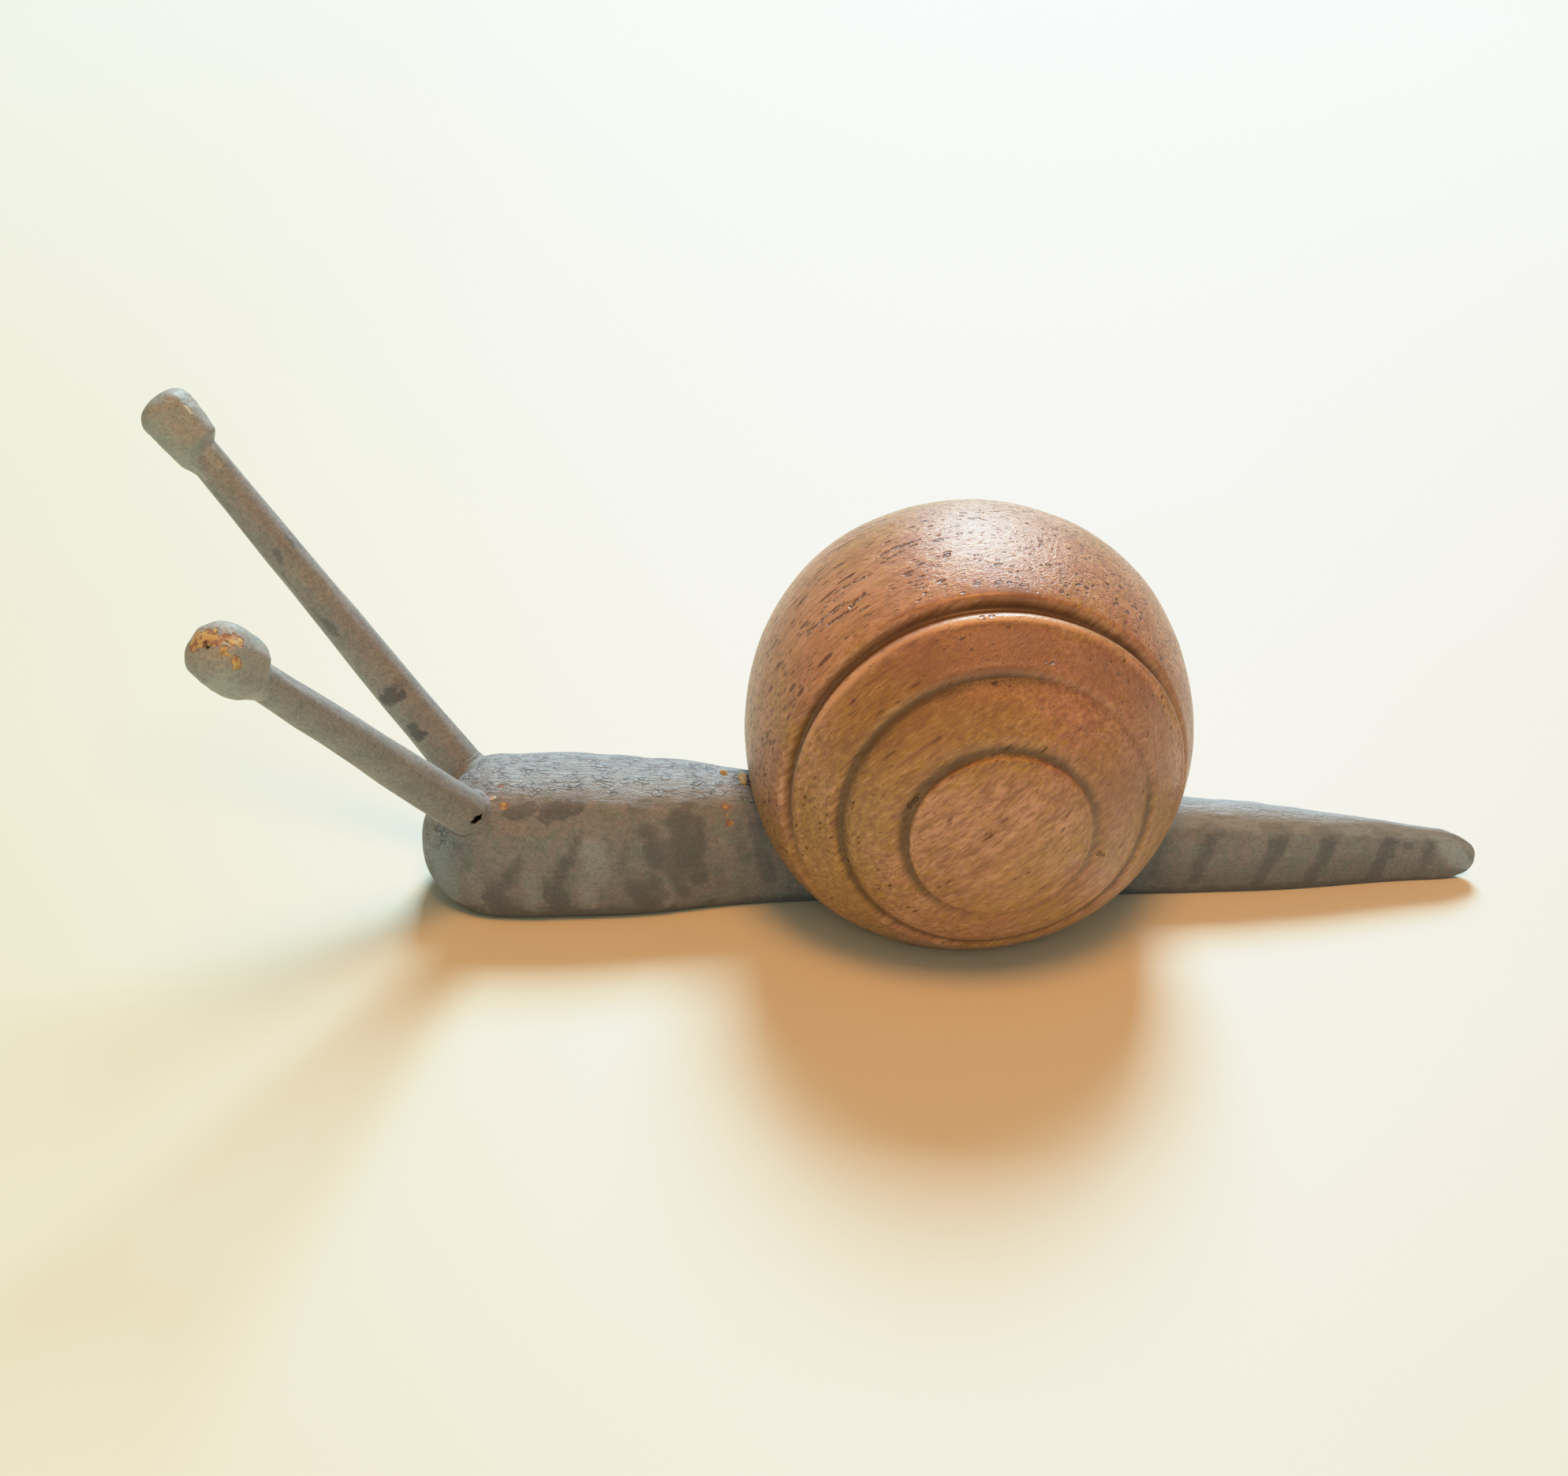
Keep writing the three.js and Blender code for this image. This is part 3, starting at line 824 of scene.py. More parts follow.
def build_fillet(side, tentacle, body_tree, seed):
    """Paint and glue that run in a hollow curve from the stalk onto the head."""
    outline = []
    inside = []
    for step in range(FILLET_ROWS):
        turn = 2 * math.pi * step / FILLET_ROWS
        start = tentacle.place(TENON * 2.6, tentacle.root_radius, turn)
        corner, face_normal, _, _ = body_tree.ray_cast(Vector(start * MM), Vector(-tentacle.axis))
        corner, face_normal = np.array(corner) / MM, np.array(face_normal)
        offset = corner - tentacle.foot
        stick_normal = unit_vector(offset - (offset @ tentacle.axis) * tentacle.axis)
        ragged = 1 + 0.5 * wobble([corner], 1.5, seed)[0]
        up_stick = corner + tentacle.axis * FILLET_RISE * ragged
        along_face = unit_vector(stick_normal - (stick_normal @ face_normal) * face_normal)
        above = corner + along_face * FILLET_REACH * ragged + face_normal
        landing, _, _, _ = body_tree.ray_cast(Vector(above * MM), Vector(-face_normal))
        landing = np.array(landing) / MM
        share = np.linspace(0, 1, FILLET_STEPS)[:, None]
        curve = (1 - share) ** 2 * up_stick + 2 * share * (1 - share) * corner + share ** 2 * landing
        curve = curve + 0.03 * (stick_normal * (1 - share) + face_normal * share)
        outline.append(curve)
        inside.append(np.stack([
            landing - FILLET_ROOT * face_normal,
            corner - FILLET_ROOT * (face_normal + stick_normal),
            up_stick - FILLET_ROOT * stick_normal,
        ]))
    rings = np.concatenate([np.array(outline), np.array(inside)], axis=1)
    rows, columns = rings.shape[:2]
    faces = []
    for row in range(rows):
        here, there = row * columns, (row + 1) % rows * columns
        for column in range(columns):
            after = (column + 1) % columns
            faces.append((here + column, here + after, there + after, there + column))
    return face_outward(link(f"{side}_stalk_fillet", rings.reshape(-1, 3), faces))


def slot_drill():
    """The little slot that the paint left open under the left stalk's foot."""
    low, high = (np.array(point) for point in OPEN_SLOT)
    axis = unit_vector(high - low)
    half = np.linalg.norm(high - low) / 2
    into = np.array([0.08, 0.87, -0.49])
    across = np.cross(axis, into)
    turns = full_turn(40)
    rings = []
    for depth, size in ((-1.0, 1.15), (-0.1, 1.0), (0.4, 0.9), (1.1, 0.6)):
        middle = (low + high) / 2 + depth * into
        ragged = 1 + 0.16 * np.sin(5 * turns + 1.0) + 0.08 * np.sin(9 * turns)
        rings.append([
            middle + size * r * (axis * half * math.cos(t) + across * 0.23 * math.sin(t))
            for t, r in zip(turns, ragged)
        ])
    drill = skin("slot_drill", np.array(rings))
    # The slot's inside is painted black: painted shade deep in the slot
    set_attribute(drill, "pit", np.ones(len(drill.data.vertices)))
    return drill


def build_lump(name, start, end, half_width, thickness, up, seed):
    """A crumb or flake with an uneven skin that lies along a line with its flat side to up."""
    start, end = np.array(start), np.array(end)
    half_length = np.linalg.norm(end - start) / 2
    axis = (end - start) / (2 * half_length)
    normal = unit_vector(np.array(up) - (np.array(up) @ axis) * axis)
    across = np.cross(normal, axis)
    rows, columns = 30, 40
    polar = np.linspace(0.05, math.pi - 0.05, rows)[:, None]
    turn = full_turn(columns)[None, :]
    unit = np.stack([
        np.sin(polar) * np.cos(turn),
        np.sin(polar) * np.sin(turn),
        np.cos(polar) * np.ones_like(turn),
    ], axis=2).reshape(-1, 3)
    shape = (1 + 0.5 * wobble(unit, 0.9, seed, 3))[:, None]
    unit = unit * shape * np.array([half_length, half_width, thickness])
    points = (start + end) / 2 + unit @ np.array([axis, across, normal])
    return skin(name, points.reshape(rows, columns, 3))


# --- Materials ----------------------------------------------------------------------------

RED_WOOD = (0.48, 0.225, 0.140, 1)
BROWN_WOOD = (0.62, 0.345, 0.215, 1)
GOLDEN_WOOD = (0.42, 0.245, 0.038, 1)
DARK_WOOD = (0.27, 0.125, 0.070, 1)
PALE_WOOD = (0.80, 0.52, 0.28, 1)
PALE_TONE_AND_HIGHLIGHT = (0.86, 0.52, 0.30, 1)
HIGHLIGHT_WHITE = (1.0, 0.86, 0.72, 1)
PORE_BROWN = (0.150, 0.052, 0.028, 1)
GROOVE_OLIVE = (0.085, 0.050, 0.018, 1)
GRAIN_TURN = 42         # the grain rises towards the tail at this angle
LARGEST_PORE = 0.40
BARE_ORANGE = (0.72, 0.53, 0.17, 1)
BARE_BROWN = (0.36, 0.15, 0.07, 1)
SPECK_AND_SHADE_BLACK = (0.030, 0.020, 0.014, 1)
BODY_GREY = (0.240, 0.268, 0.286)
STICK_GREY = (0.290, 0.318, 0.330)
# The beads' grey is the sticks' grey made lighter: painted light for the beads' lit tops
LIT_BEAD_GREY = (0.355, 0.400, 0.400)


class Paint:
    """A node material, with short calls for the nodes that every finish here is made of."""

    def __init__(self, name):
        self.material = bpy.data.materials.new(name)
        self.material.use_nodes = True
        self.tree = self.material.node_tree
        self.tree.nodes.clear()
        self.shader = self.node("ShaderNodeBsdfPrincipled")
        self.node("ShaderNodeOutputMaterial", {"Surface": self.shader.outputs["BSDF"]})
        place = self.node("ShaderNodeTexCoord", output="Object")
        self.place = self.vector("MULTIPLY", place, (1 / MM, 1 / MM, 1 / MM))

    def node(self, kind, inputs=None, output=None, **properties):
        """Adds a node, sets it up and gives the node itself or one of its outputs."""
        node = self.tree.nodes.new(kind)
        for name, value in properties.items():
            setattr(node, name, value)
        self.feed(node, inputs or {})
        return node.outputs[output] if output else node

    def feed(self, node, inputs):
        for name, value in inputs.items():
            if isinstance(value, bpy.types.NodeSocket):
                self.tree.links.new(value, node.inputs[name])
            else:
                node.inputs[name].default_value = value

    def vector(self, operation, first, second):
        output = "Value" if operation in ("DOT_PRODUCT", "LENGTH") else "Vector"
        return self.node("ShaderNodeVectorMath", {0: first, 1: second}, output, operation=operation)

    def math(self, operation, first, second, clamp=False):
        inputs = {0: first, 1: second}
        return self.node("ShaderNodeMath", inputs, "Value", operation=operation, use_clamp=clamp)

    def times(self, first, second):
        return self.math("MULTIPLY", first, second)

    def spread(self, value):
        """A vector with the value in all three places."""
        return self.node("ShaderNodeCombineXYZ", {0: value, 1: value, 2: value}, "Vector")

    def stretched(self, turn_y, scale):
        """Object coordinates in millimetres turned about Y by degrees, then scaled."""
        inputs = {"Rotation": (0, math.radians(turn_y), 0), "Vector": self.place}
        turned = self.node("ShaderNodeMapping", inputs, "Vector", vector_type="POINT")
        return self.vector("MULTIPLY", turned, scale)

    def noise(self, vector, scale, detail=3.0, roughness=0.5, distortion=0.0):
        inputs = {"Vector": vector, "Scale": scale, "Detail": detail}
        inputs.update({"Roughness": roughness, "Distortion": distortion})
        return self.node("ShaderNodeTexNoise", inputs, "Fac")

    def cells(self, vector, scale, feature="F1"):
        """Distance in a cell pattern, and a random value for each cell."""
        node = self.node("ShaderNodeTexVoronoi", {"Vector": vector, "Scale": scale}, feature=feature)
        return node.outputs["Distance"], node.outputs.get("Color")

    def warped(self, vector, scale, reach):
        """A vector pushed about by noise."""
        push = self.node("ShaderNodeTexNoise", {"Vector": vector, "Scale": scale}, "Color")
        shift = self.vector("SUBTRACT", push, (0.5, 0.5, 0.5))
        return self.vector("ADD", vector, self.vector("MULTIPLY", shift, (reach, reach, reach)))

    def step(self, value, low, high, to_low=0.0, to_high=1.0):
        """A smooth step between two results as the value goes from low to high."""
        inputs = {"Value": value, "From Min": low, "From Max": high}
        inputs.update({"To Min": to_low, "To Max": to_high})
        return self.node("ShaderNodeMapRange", inputs, "Result", interpolation_type="SMOOTHSTEP")

    def mix(self, share, first, second):
        inputs = {"Factor": share, "A": first, "B": second}
        return self.node("ShaderNodeMix", inputs, "Result", data_type="RGBA")

    def layers(self, colour, rows):
        """Lays colours over a colour, one by one.

        Each row is a field, where it starts and where it is full, the share there and the colour."""
        for field, start, full, share, over in rows:
            colour = self.mix(self.step(field, start, full, 0.0, share), colour, over)
        return colour

    def attribute(self, name):
        return self.node("ShaderNodeAttribute", output="Fac", attribute_name=name)

    def bump(self, height, distance_mm, strength=1.0, after=None):
        inputs = {"Strength": strength, "Distance": distance_mm * MM, "Height": height}
        if after is not None:
            inputs["Normal"] = after
        return self.node("ShaderNodeBump", inputs, "Normal")

    def finish(self, colour, roughness, normal, coat=0.0, coat_roughness=0.3):
        inputs = {"Base Color": colour, "Roughness": roughness, "Normal": normal}
        inputs.update({"Coat Weight": coat, "Coat Roughness": coat_roughness})
        if coat:
            inputs["Coat Normal"] = normal
        self.feed(self.shader, inputs)
        return self.material


def grey_paint(name, light, grain_scale, back_wrinkles_and_highlight, motley):
    """Thin grey paint brushed over wood, with darker strokes and a few rubbed spots.

    light is the paint's colour, wrinkles says how strongly it shrivelled along the back and how strongly the
    back gets its painted highlight, and motley how much its hue changes from place to place."""
    paint = Paint(name)
    r, g, b = light

    def tinted(red, green, blue):
        return (r * red, g * green, b * blue, 1)

    along = paint.vector("MULTIPLY", paint.place, grain_scale)
    soft = paint.noise(paint.place, 0.30, 4, 0.6)
    patches = paint.noise(paint.place, 0.75, 4, 0.6, 0.5)
    hue = paint.noise(paint.place, 0.70, 5, 0.7, 0.3)
    streaks = paint.noise(along, 1.0, 4, 0.6, 0.4)
    speckle = paint.noise(paint.place, 6.0, 3, 0.65)
    colour = paint.mix(paint.step(soft, 0.35, 0.65), tinted(1, 1, 1), tinted(1.16, 1.12, 1.05))
    colour = paint.layers(colour, [
        (patches, 0.52, 0.70, 0.55, tinted(0.74, 0.78, 0.78)),
        (streaks, 0.45, 0.75, 0.35, tinted(0.72, 0.74, 0.76)),
        (hue, 0.47, 0.56, motley, tinted(1.18, 0.98, 1.02)),
        (hue, 0.47, 0.40, motley, tinted(0.76, 0.95, 0.80)),
    ])
    blots = paint.noise(paint.place, 2.3, 4, 0.75)
    colour = paint.layers(colour, [
        (blots, 0.50, 0.62, 0.45, tinted(0.66, 0.68, 0.70)),
        (blots, 0.48, 0.38, 0.35, tinted(1.35, 1.33, 1.28)),
    ])

    mark = paint.attribute("mark")
    # Dark marks: brush strokes, smudges and specks, darker paint towards the body's foot, and the painted
    # contact shade along the foot's edge
    dark_marks = paint.times(mark, paint.step(speckle, 0.25, 0.6, 0.75, 1.0))
    colour = paint.layers(colour, [(dark_marks, 0.0, 1.1, 0.88, tinted(0.38, 0.42, 0.49))])
    # Negative marks lighten the paint: lighter patches, and on the tail a painted highlight along the lit top
    lighter = paint.math("MULTIPLY", mark, -0.40, clamp=True)
    colour = paint.mix(lighter, colour, tinted(1.85, 2.1, 2.25))
    colour = paint.layers(colour, [
        (speckle, 0.44, 0.66, 0.45, tinted(0.45, 0.45, 0.45)),
        (speckle, 0.40, 0.28, 0.20, tinted(1.7, 1.65, 1.6)),
    ])

    # Along the back the paint dried in fine wrinkles and flaked into a crust
    back = paint.times(paint.attribute("back"), back_wrinkles_and_highlight)
    # Painted highlight: the lit back is painted lighter and bluer, where the light from above and behind
    # falls on it
    colour = paint.mix(paint.times(back, 0.75), colour, tinted(1.55, 1.60, 1.66))
    place = paint.warped(paint.place, 1.6, 0.5)
    ripple = paint.noise(paint.vector("MULTIPLY", place, (0.40, 4.2, 4.2)), 1.0, 3, 0.6, 0.5)
    edges, _ = paint.cells(paint.vector("MULTIPLY", place, (0.85, 2.3, 2.3)), 1.0, "DISTANCE_TO_EDGE")
    where = paint.step(paint.noise(paint.place, 0.8, 3, 0.6), 0.44, 0.58)
    crusty = paint.times(paint.step(back, 0.68, 0.90), where)
    crack = paint.times(paint.step(edges, 0.07, 0.02), crusty)
    colour = paint.mix(paint.times(crack, 0.70), colour, tinted(0.30, 0.30, 0.38))
    furrow = paint.times(back, paint.step(ripple, 0.56, 0.68))
    colour = paint.mix(paint.times(furrow, 0.42), colour, tinted(0.45, 0.46, 0.52))

    crumbs = paint.noise(paint.place, 1.9, 4, 0.7)
    bare = paint.attribute("bare")
    bareness = paint.step(paint.math("ADD", bare, paint.step(crumbs, 0.3, 0.7, -0.30, 0.22)), 0.3, 0.75)
    wood = paint.mix(paint.step(crumbs, 0.46, 0.56), BARE_ORANGE, BARE_BROWN)
    colour = paint.mix(paint.times(bareness, 0.80), colour, wood)
    # Black for dark specks and smudge cores, and painted shade inside the slot under the left stalk
    colour = paint.mix(paint.attribute("pit"), colour, SPECK_AND_SHADE_BLACK)

    brushed = paint.step(paint.noise(along, 1.6, 4, 0.6, 0.5), 0.3, 0.75)
    normal = paint.bump(brushed, 0.035)
    wrinkled = paint.times(back, paint.step(ripple, 0.3, 0.7))
    normal = paint.bump(wrinkled, -0.08, 1.0, normal)
    normal = paint.bump(speckle, 0.03, 0.8, normal)
    flaked = paint.times(paint.step(edges, 0.0, 0.22), crusty)
    normal = paint.bump(flaked, 0.09, 1.0, normal)
    normal = paint.bump(bareness, -0.05, 1.0, normal)
    roughness = paint.step(streaks, 0.3, 0.7, 0.50, 0.64)
    return paint.finish(colour, roughness, normal)


# Long cracks and torn pores in the shell: both ends from its centre in millimetres, half width
SHELL_CRACKS = [
    ((-8.6, -2.1, 16.8), (-7.4, -1.8, 17.3), 0.12),
    ((-7.4, -1.8, 17.3), (-5.5, -1.9, 18.1), 0.07),
    ((-8.2, -3.0, 16.8), (-6.8, -2.7, 17.5), 0.07),
    ((-13.4, -5.1, 12.4), (-11.8, -5.1, 14.0), 0.09),
    ((-12.9, -6.0, 12.5), (-11.5, -6.3, 13.8), 0.09),
    ((-11.7, -3.6, 14.5), (-10.1, -3.9, 15.6), 0.09),
    ((-13.3, -4.1, 12.8), (-11.7, -4.2, 14.3), 0.08),
    ((-11.3, -6.0, 14.1), (-10.2, -5.6, 15.0), 0.13),
    ((-12.0, -0.2, 14.7), (-11.1, -0.4, 15.3), 0.08),
    ((-12.4, -2.2, 14.1), (-11.0, -2.0, 15.3), 0.06),
    ((-14.5, -4.8, 11.3), (-13.4, -5.3, 12.3), 0.07),
    ((-3.8, -4.8, 18.0), (-3.5, -4.6, 18.0), 0.15),
    ((-7.1, -17.2, 2.3), (-6.6, -17.2, 2.9), 0.12),
    ((8.9, -16.7, -2.7), (8.5, -16.8, -2.4), 0.12),
    ((8.3, -16.8, 1.5), (8.2, -16.8, 2.0), 0.10),
]


def crack_depth(paint):
    """How deep each point lies in the nearest crack, from 0 to 1."""
    centre = tuple(float(value) for value in SHELL_CENTRE)
    place = paint.warped(paint.vector("SUBTRACT", paint.place, centre), 2.2, 0.42)
    deepest = None
    for start, end, half_width in SHELL_CRACKS:
        along = Vector(end) - Vector(start)
        offset = paint.vector("SUBTRACT", place, start)
        share = paint.vector("DOT_PRODUCT", offset, tuple(along / along.length_squared))
        share = paint.math("ADD", share, 0.0, clamp=True)
        nearest = paint.vector("MULTIPLY", tuple(along), paint.spread(share))
        gap = paint.vector("SUBTRACT", offset, nearest)
        distance = paint.vector("LENGTH", gap, (0, 0, 0))
        depth = paint.step(distance, half_width * 2.1, half_width * 0.6)
        deepest = depth if deepest is None else paint.math("MAXIMUM", deepest, depth)
    broken = paint.noise(paint.place, 3.0, 2, 0.6)
    return paint.times(deepest, paint.step(broken, 0.36, 0.48, 0.35, 1.0))


def pores(paint, stretch, scale, smallest):
    """Cut tubes along the grain: dots where they come out and dashes where they run along."""
    space = paint.warped(paint.stretched(GRAIN_TURN, (stretch, 1, 1)), 2.5, 0.16)
    distance, random_value = paint.cells(space, scale)
    size = paint.step(random_value, 0.25, 0.85, smallest, LARGEST_PORE)
    return paint.math("SUBTRACT", 1.0, paint.math("DIVIDE", distance, size), clamp=True)


def turned_hardwood():
    """Open-pored reddish-brown wood under a thin satin lacquer."""
    paint = Paint("lacquered_hardwood")
    bands = paint.noise(paint.stretched(GRAIN_TURN, (0.03, 0.5, 0.38)), 1.0, 3, 0.5, 0.4)
    fibre = paint.noise(paint.stretched(GRAIN_TURN, (0.20, 1.7, 1.7)), 1.0, 4, 0.7, 0.3)
    fine = paint.noise(paint.stretched(GRAIN_TURN, (0.8, 3.4, 3.4)), 1.0, 3, 0.75)
    motes = paint.noise(paint.stretched(GRAIN_TURN, (1.0, 2.0, 2.0)), 1.0, 4, 0.75)
    colour = paint.mix(paint.step(bands, 0.35, 0.65), RED_WOOD, BROWN_WOOD)
    golden = paint.noise(paint.place, 0.13, 3, 0.55)
    golden = paint.math("ADD", golden, paint.times(paint.attribute("golden"), 0.22))
    colour = paint.layers(colour, [(golden, 0.44, 0.72, 0.75, GOLDEN_WOOD)])
    mote = paint.times(paint.step(motes, 0.48, 0.58), paint.step(golden, 0.30, 0.60, 0.30, 0.85))
    colour = paint.mix(mote, colour, GOLDEN_WOOD)
    colour = paint.layers(colour, [
        (fibre, 0.48, 0.66, 0.62, DARK_WOOD),
        (fibre, 0.44, 0.30, 0.35, PALE_WOOD),
        (fine, 0.47, 0.64, 0.68, DARK_WOOD),
        (fine, 0.44, 0.30, 0.45, PALE_WOOD),
    ])
    pale = paint.attribute("pale")
    # Paleness: lighter wood tone and painted light, up to white in the lip's painted highlight; below zero,
    # painted shade on the disc under the lip and towards the tail
    colour = paint.layers(colour, [
        (pale, 0.0, 1.0, 0.75, PALE_TONE_AND_HIGHLIGHT),
        (pale, 1.0, 2.0, 0.80, HIGHLIGHT_WHITE),
        (pale, 0.0, -1.0, 0.85, DARK_WOOD),
    ])

    # The disc has fewer open pores than the outside, and the groove hardly any
    outside = paint.attribute("outside")
    spread = paint.step(paint.noise(paint.place, 0.5, 2), 0.38, 0.58, 0.65, 1.2)
    spread = paint.times(spread, paint.step(outside, 0.0, 1.0, 0.35, 1.0))
    spread = paint.times(spread, paint.step(paint.attribute("calm"), 0.2, 0.8, 1.0, 0.2))
    large = pores(paint, 0.14, 1.65, 0.10)
    large = paint.step(paint.times(large, spread), 0.08, 0.38)
    small = pores(paint, 0.30, 2.6, 0.12)
    small = paint.step(paint.times(small, spread), 0.09, 0.44)
    deep = paint.math("MAXIMUM", large, crack_depth(paint))
    colour = paint.mix(paint.times(deep, 0.82), colour, PORE_BROWN)
    colour = paint.mix(paint.times(small, 0.62), colour, PORE_BROWN)

    # The grooves darken towards their deepest part: dirt packed in them, and painted shade
    groove = paint.math("ADD", paint.attribute("groove"), paint.step(fibre, 0.3, 0.7, -0.06, 0.06))
    colour = paint.mix(paint.step(groove, 0.12, 0.90, 0.0, 0.80), colour, GROOVE_OLIVE)
    normal = paint.bump(deep, -0.14)
    plain = paint.step(paint.attribute("calm"), 0.0, 1.0, 1.0, 0.10)
    fine_height = paint.times(paint.math("SUBTRACT", fine, 0.5), plain)
    fibre_height = paint.times(paint.math("SUBTRACT", fibre, 0.5), plain)
    normal = paint.bump(fine_height, -0.095, 1.0, normal)
    normal = paint.bump(small, -0.07, 1.0, normal)
    normal = paint.bump(fibre_height, -0.05, 0.8, normal)
    roughness = paint.step(fine, 0.3, 0.75, 0.44, 0.60)
    return paint.finish(colour, roughness, normal, coat=0.62, coat_roughness=0.24)


def bare_dowel_wood():
    paint = Paint("bare_wood")
    fibre = paint.vector("MULTIPLY", paint.place, (2.0, 2.0, 0.15))
    grain = paint.noise(fibre, 1.6, 4, 0.6)
    colour = paint.mix(paint.step(grain, 0.3, 0.7), (0.62, 0.41, 0.2, 1), (0.43, 0.24, 0.1, 1))
    return paint.finish(colour, paint.step(grain, 0.3, 0.7, 0.6, 0.8), paint.bump(grain, 0.05))


def dried_filler():
    paint = Paint("dried_filler")
    lumps = paint.noise(paint.place, 2.4, 4, 0.65)
    colour = paint.mix(paint.step(lumps, 0.35, 0.65), (0.50, 0.36, 0.12, 1), (0.66, 0.53, 0.30, 1))
    dark_share = paint.noise(paint.place, 1.1, 3)
    colour = paint.mix(paint.step(dark_share, 0.55, 0.72, 0.0, 0.8), colour, (0.10, 0.07, 0.03, 1))
    return paint.finish(colour, paint.step(lumps, 0.3, 0.7, 0.5, 0.75), paint.bump(lumps, 0.08))


def flake_paint():
    paint = Paint("lifted_paint")
    grain = paint.noise(paint.place, 5.0, 3, 0.6)
    colour = paint.mix(grain, (0.78, 0.76, 0.68, 1), (0.62, 0.60, 0.54, 1))
    return paint.finish(colour, paint.step(grain, 0.3, 0.7, 0.4, 0.6), paint.bump(grain, 0.03))


# --- Assembly -----------------------------------------------------------------------------

# Crumbs of filler and lifted flakes of paint: both ends, half width, thickness, the side that
# faces up and the finish
CRUMBS = [
    ("filler_crumb", (-20.95, 0.05, 10.92), (-20.35, -0.05, 10.86), 0.24, 0.22, (0, 0, 1), "filler"),
    ("filler_at_shell", (-19.25, 0.3, 10.62), (-18.95, -1.15, 10.4), 0.42, 0.26, (-0.4, -0.2, 0.9), "filler"),
    ("filler_trail", (-19.1, -0.9, 10.45), (-18.75, -1.9, 9.90), 0.26, 0.16, (-0.4, -0.4, 0.8), "filler"),
    ("paint_flake", (-40.45, -3.85, 10.66), (-39.80, -3.70, 10.72), 0.13, 0.09, (0, -0.6, 0.8), "flake"),
    ("bead_flake", (-64.98, 9.08, 40.32), (-64.18, 8.98, 39.45), 0.13, 0.10, (0.35, -0.55, 0.75), "flake"),
]


def dress(obj, material, slot, *nodes):
    obj.data.materials.clear()
    obj.data.materials.append(material)
    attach(obj, "root")
    if nodes:
        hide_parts(*nodes)


body_paint = grey_paint("grey_paint_body", BODY_GREY, (0.14, 1.5, 1.5), 1.0, 0.7)
stick_paint = grey_paint("grey_paint_sticks", STICK_GREY, (0.5, 0.5, 0.5), 0.0, 0.28)
# The beads get the lighter grey: painted light on their lit tops
lit_bead_paint = grey_paint("grey_paint_beads_lit", LIT_BEAD_GREY, (0.5, 0.5, 0.5), 0.0, 0.28)
tentacles = {side: Tentacle(side) for side in ("left", "right")}

body = build_body()
body_tree = BVHTree.FromPolygons(
    [vertex.co for vertex in body.data.vertices],
    [list(polygon.vertices) for polygon in body.data.polygons])
for tentacle in tentacles.values():
    cut_away(body, hole_cutter(tentacle))
cut_away(body, slot_drill())
dress(body, body_paint, "painted_wood", "body")

shell = build_shell()
dress(shell, turned_hardwood(), "lacquered_hardwood", "shell")

for seed, (side, tentacle) in enumerate(tentacles.items()):
    stalk = build_stalk(side, tentacle, 20 + seed)
    if side == "left":
        cut_away(stalk, slot_drill())
    dress(stalk, stick_paint, "painted_wood", f"{side}_stalk")
    bead = build_bead(side, tentacle, 30 + seed)
    dress(bead, lit_bead_paint, "painted_wood", f"{side}_eye_bead")
    fillet = build_fillet(side, tentacle, body_tree, 40 + seed)
    if side == "left":
        cut_away(fillet, slot_drill())
    dress(fillet, body_paint, "painted_wood")

crumb_finish = {"filler": dried_filler(), "flake": flake_paint()}
for seed, (name, start, end, half_width, thickness, up, finish) in enumerate(CRUMBS):
    lump = build_lump(name, start, end, half_width, thickness, up, seed)
    dress(lump, crumb_finish[finish], "painted_wood")

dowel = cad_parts["shell_dowel"]
dowel.data.materials.clear()
dowel.data.materials.append(bare_dowel_wood())

# --- Stage --------------------------------------------------------------------------------

FLOOR_HALF_SIZE = 3.0   # metres
# The floor is painted yellower on the left and bluer on the right: a painted cast of the room's mixed light
# across a plain table
FLOOR_LEFT = (0.80, 0.80, 0.60, 1)
FLOOR_RIGHT = (0.82, 0.815, 0.70, 1)
FLOOR_MOTTLE = (0.80, 0.81, 0.66, 1)
# Area lights: direction from the shell, distance and size in metres, power, colour and whether
# the lacquer mirrors them
LIGHTS = {
    "window": ((0.16, 0.98, 0.86), 0.9, 0.36, 10.2, (0.66, 0.90, 1.0), True),
    "lamp": ((0.02, -0.28, 0.96), 0.8, 0.29, 3.35, (1.0, 0.41, 0.10), True),
    "fill": ((-0.15, -1.0, 0.36), 0.8, 0.9, 1.1, (0.87, 1.0, 0.84), False),
}
CAMERA_ANGLES = (-5.2, 29.3, 2.5)       # round from the side, above the table and roll, in degrees
CAMERA_AIM = (-15.6, 0, -1.3)           # millimetres from the shell's centre
CAMERA_DISTANCE = 0.201
LENS_MM = 54.3
WORLD_COLOUR = (1.0, 0.88, 0.72, 1)
WORLD_STRENGTH = 0.22
CURVE_WHITE = 2.0
SHOULDER = [(0.3, 0.3), (0.6, 0.6), (0.85, 0.80), (1.2, 0.925), (2.0, 0.985)]


def build_stage():
    size = FLOOR_HALF_SIZE
    corners = [(-size, -size, 0), (size, -size, 0), (size, size, 0), (-size, size, 0)]
    floor = link("floor", np.array(corners) / MM, [(0, 1, 2, 3)], smooth=False)
    paint = Paint("floor_white")
    mottle = paint.noise(paint.place, 0.02, 2)
    across = paint.vector("DOT_PRODUCT", paint.place, (1.0, 0.0, 0.0))
    colour = paint.mix(paint.step(across, -110.0, 60.0), FLOOR_LEFT, FLOOR_RIGHT)
    colour = paint.layers(colour, [(mottle, 0.3, 0.7, 0.3, FLOOR_MOTTLE)])
    floor.data.materials.append(paint.finish(colour, 0.55, paint.bump(mottle, 0.01)))


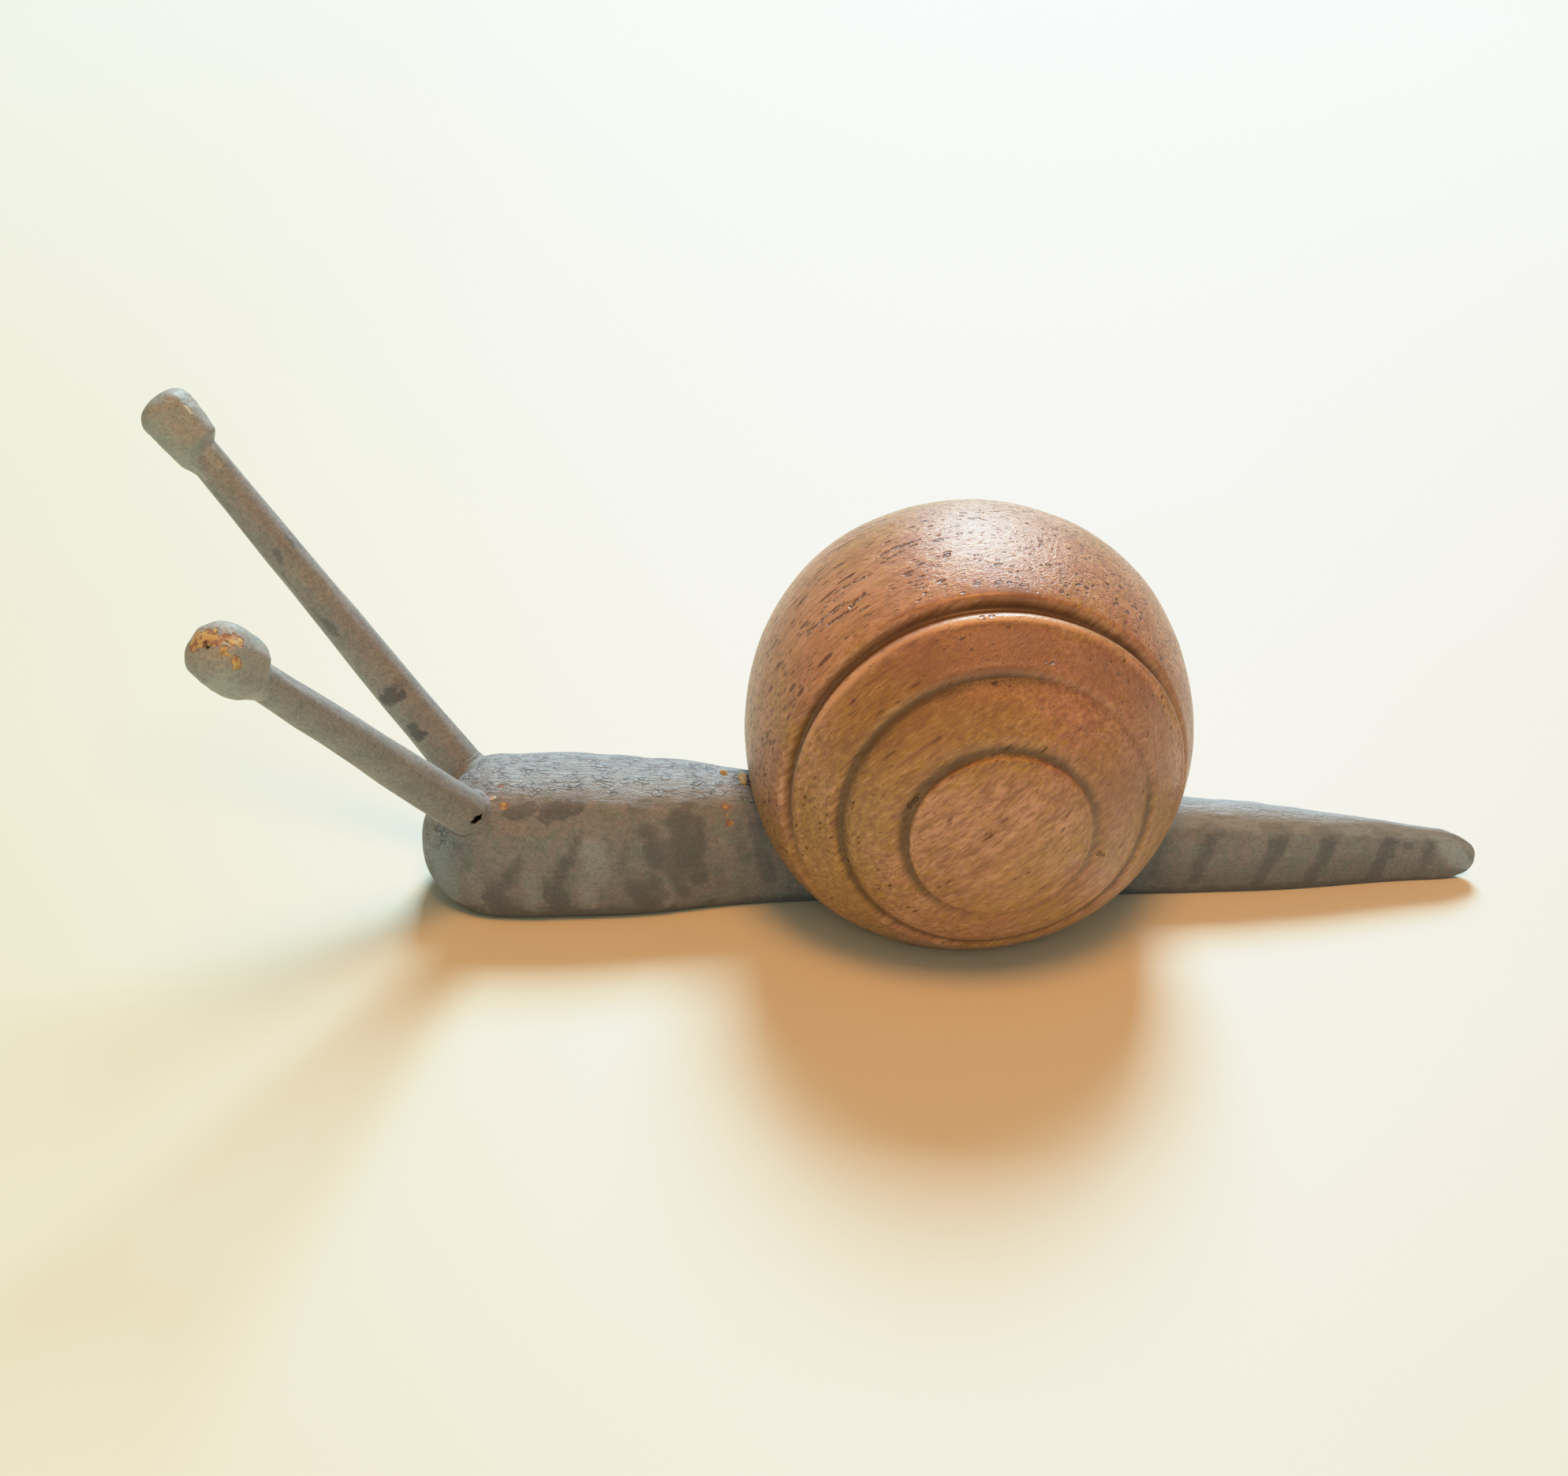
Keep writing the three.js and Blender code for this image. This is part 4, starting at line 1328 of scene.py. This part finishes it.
def add_light(name, direction, distance, size, power, colour, mirrored):
    """A square area light that looks at the shell from a direction."""
    light = bpy.data.lights.new(name, "AREA")
    light.size = size
    light.energy = power
    light.color = colour
    obj = bpy.data.objects.new(name, light)
    direction = Vector(direction).normalized()
    obj.location = Vector(SHELL_CENTRE * MM) + direction * distance
    obj.rotation_euler = direction.to_track_quat("Z", "Y").to_euler()
    obj.visible_glossy = mirrored
    bpy.context.scene.collection.objects.link(obj)


def build_camera():
    azimuth, elevation, roll = (math.radians(angle) for angle in CAMERA_ANGLES)
    aim = Vector(((SHELL_CENTRE + np.array(CAMERA_AIM)) * MM).tolist())
    level = math.cos(elevation)
    back = Vector((math.sin(azimuth) * level, -math.cos(azimuth) * level, math.sin(elevation)))
    data = bpy.data.cameras.new("camera")
    data.lens = LENS_MM
    data.clip_start = 0.01
    camera = bpy.data.objects.new("camera", data)
    camera.matrix_world = (
        Matrix.Translation(aim + back * CAMERA_DISTANCE)
        @ back.to_track_quat("Z", "Y").to_matrix().to_4x4()
        @ Matrix.Rotation(roll, 4, "Z"))
    bpy.context.scene.collection.objects.link(camera)
    bpy.context.scene.camera = camera


def build_world():
    world = bpy.data.worlds.new("room")
    world.use_nodes = True
    background = world.node_tree.nodes["Background"]
    background.inputs["Color"].default_value = WORLD_COLOUR
    background.inputs["Strength"].default_value = WORLD_STRENGTH
    bpy.context.scene.world = world


def soften_highlights():
    """A gentle shoulder, so that the pale floor stays just off white."""
    settings = bpy.context.scene.view_settings
    settings.view_transform = "Standard"
    settings.use_curve_mapping = True
    mapping = settings.curve_mapping
    mapping.white_level = (CURVE_WHITE, CURVE_WHITE, CURVE_WHITE)
    curve = mapping.curves[3]
    curve.points[0].location = (0.0, 0.0)
    curve.points[1].location = (1.0, SHOULDER[-1][1])
    for light, shown in SHOULDER[:-1]:
        curve.points.new(light / CURVE_WHITE, shown)
    mapping.update()


build_stage()
build_world()
build_camera()
for name, light in LIGHTS.items():
    add_light(name, *light)
soften_highlights()
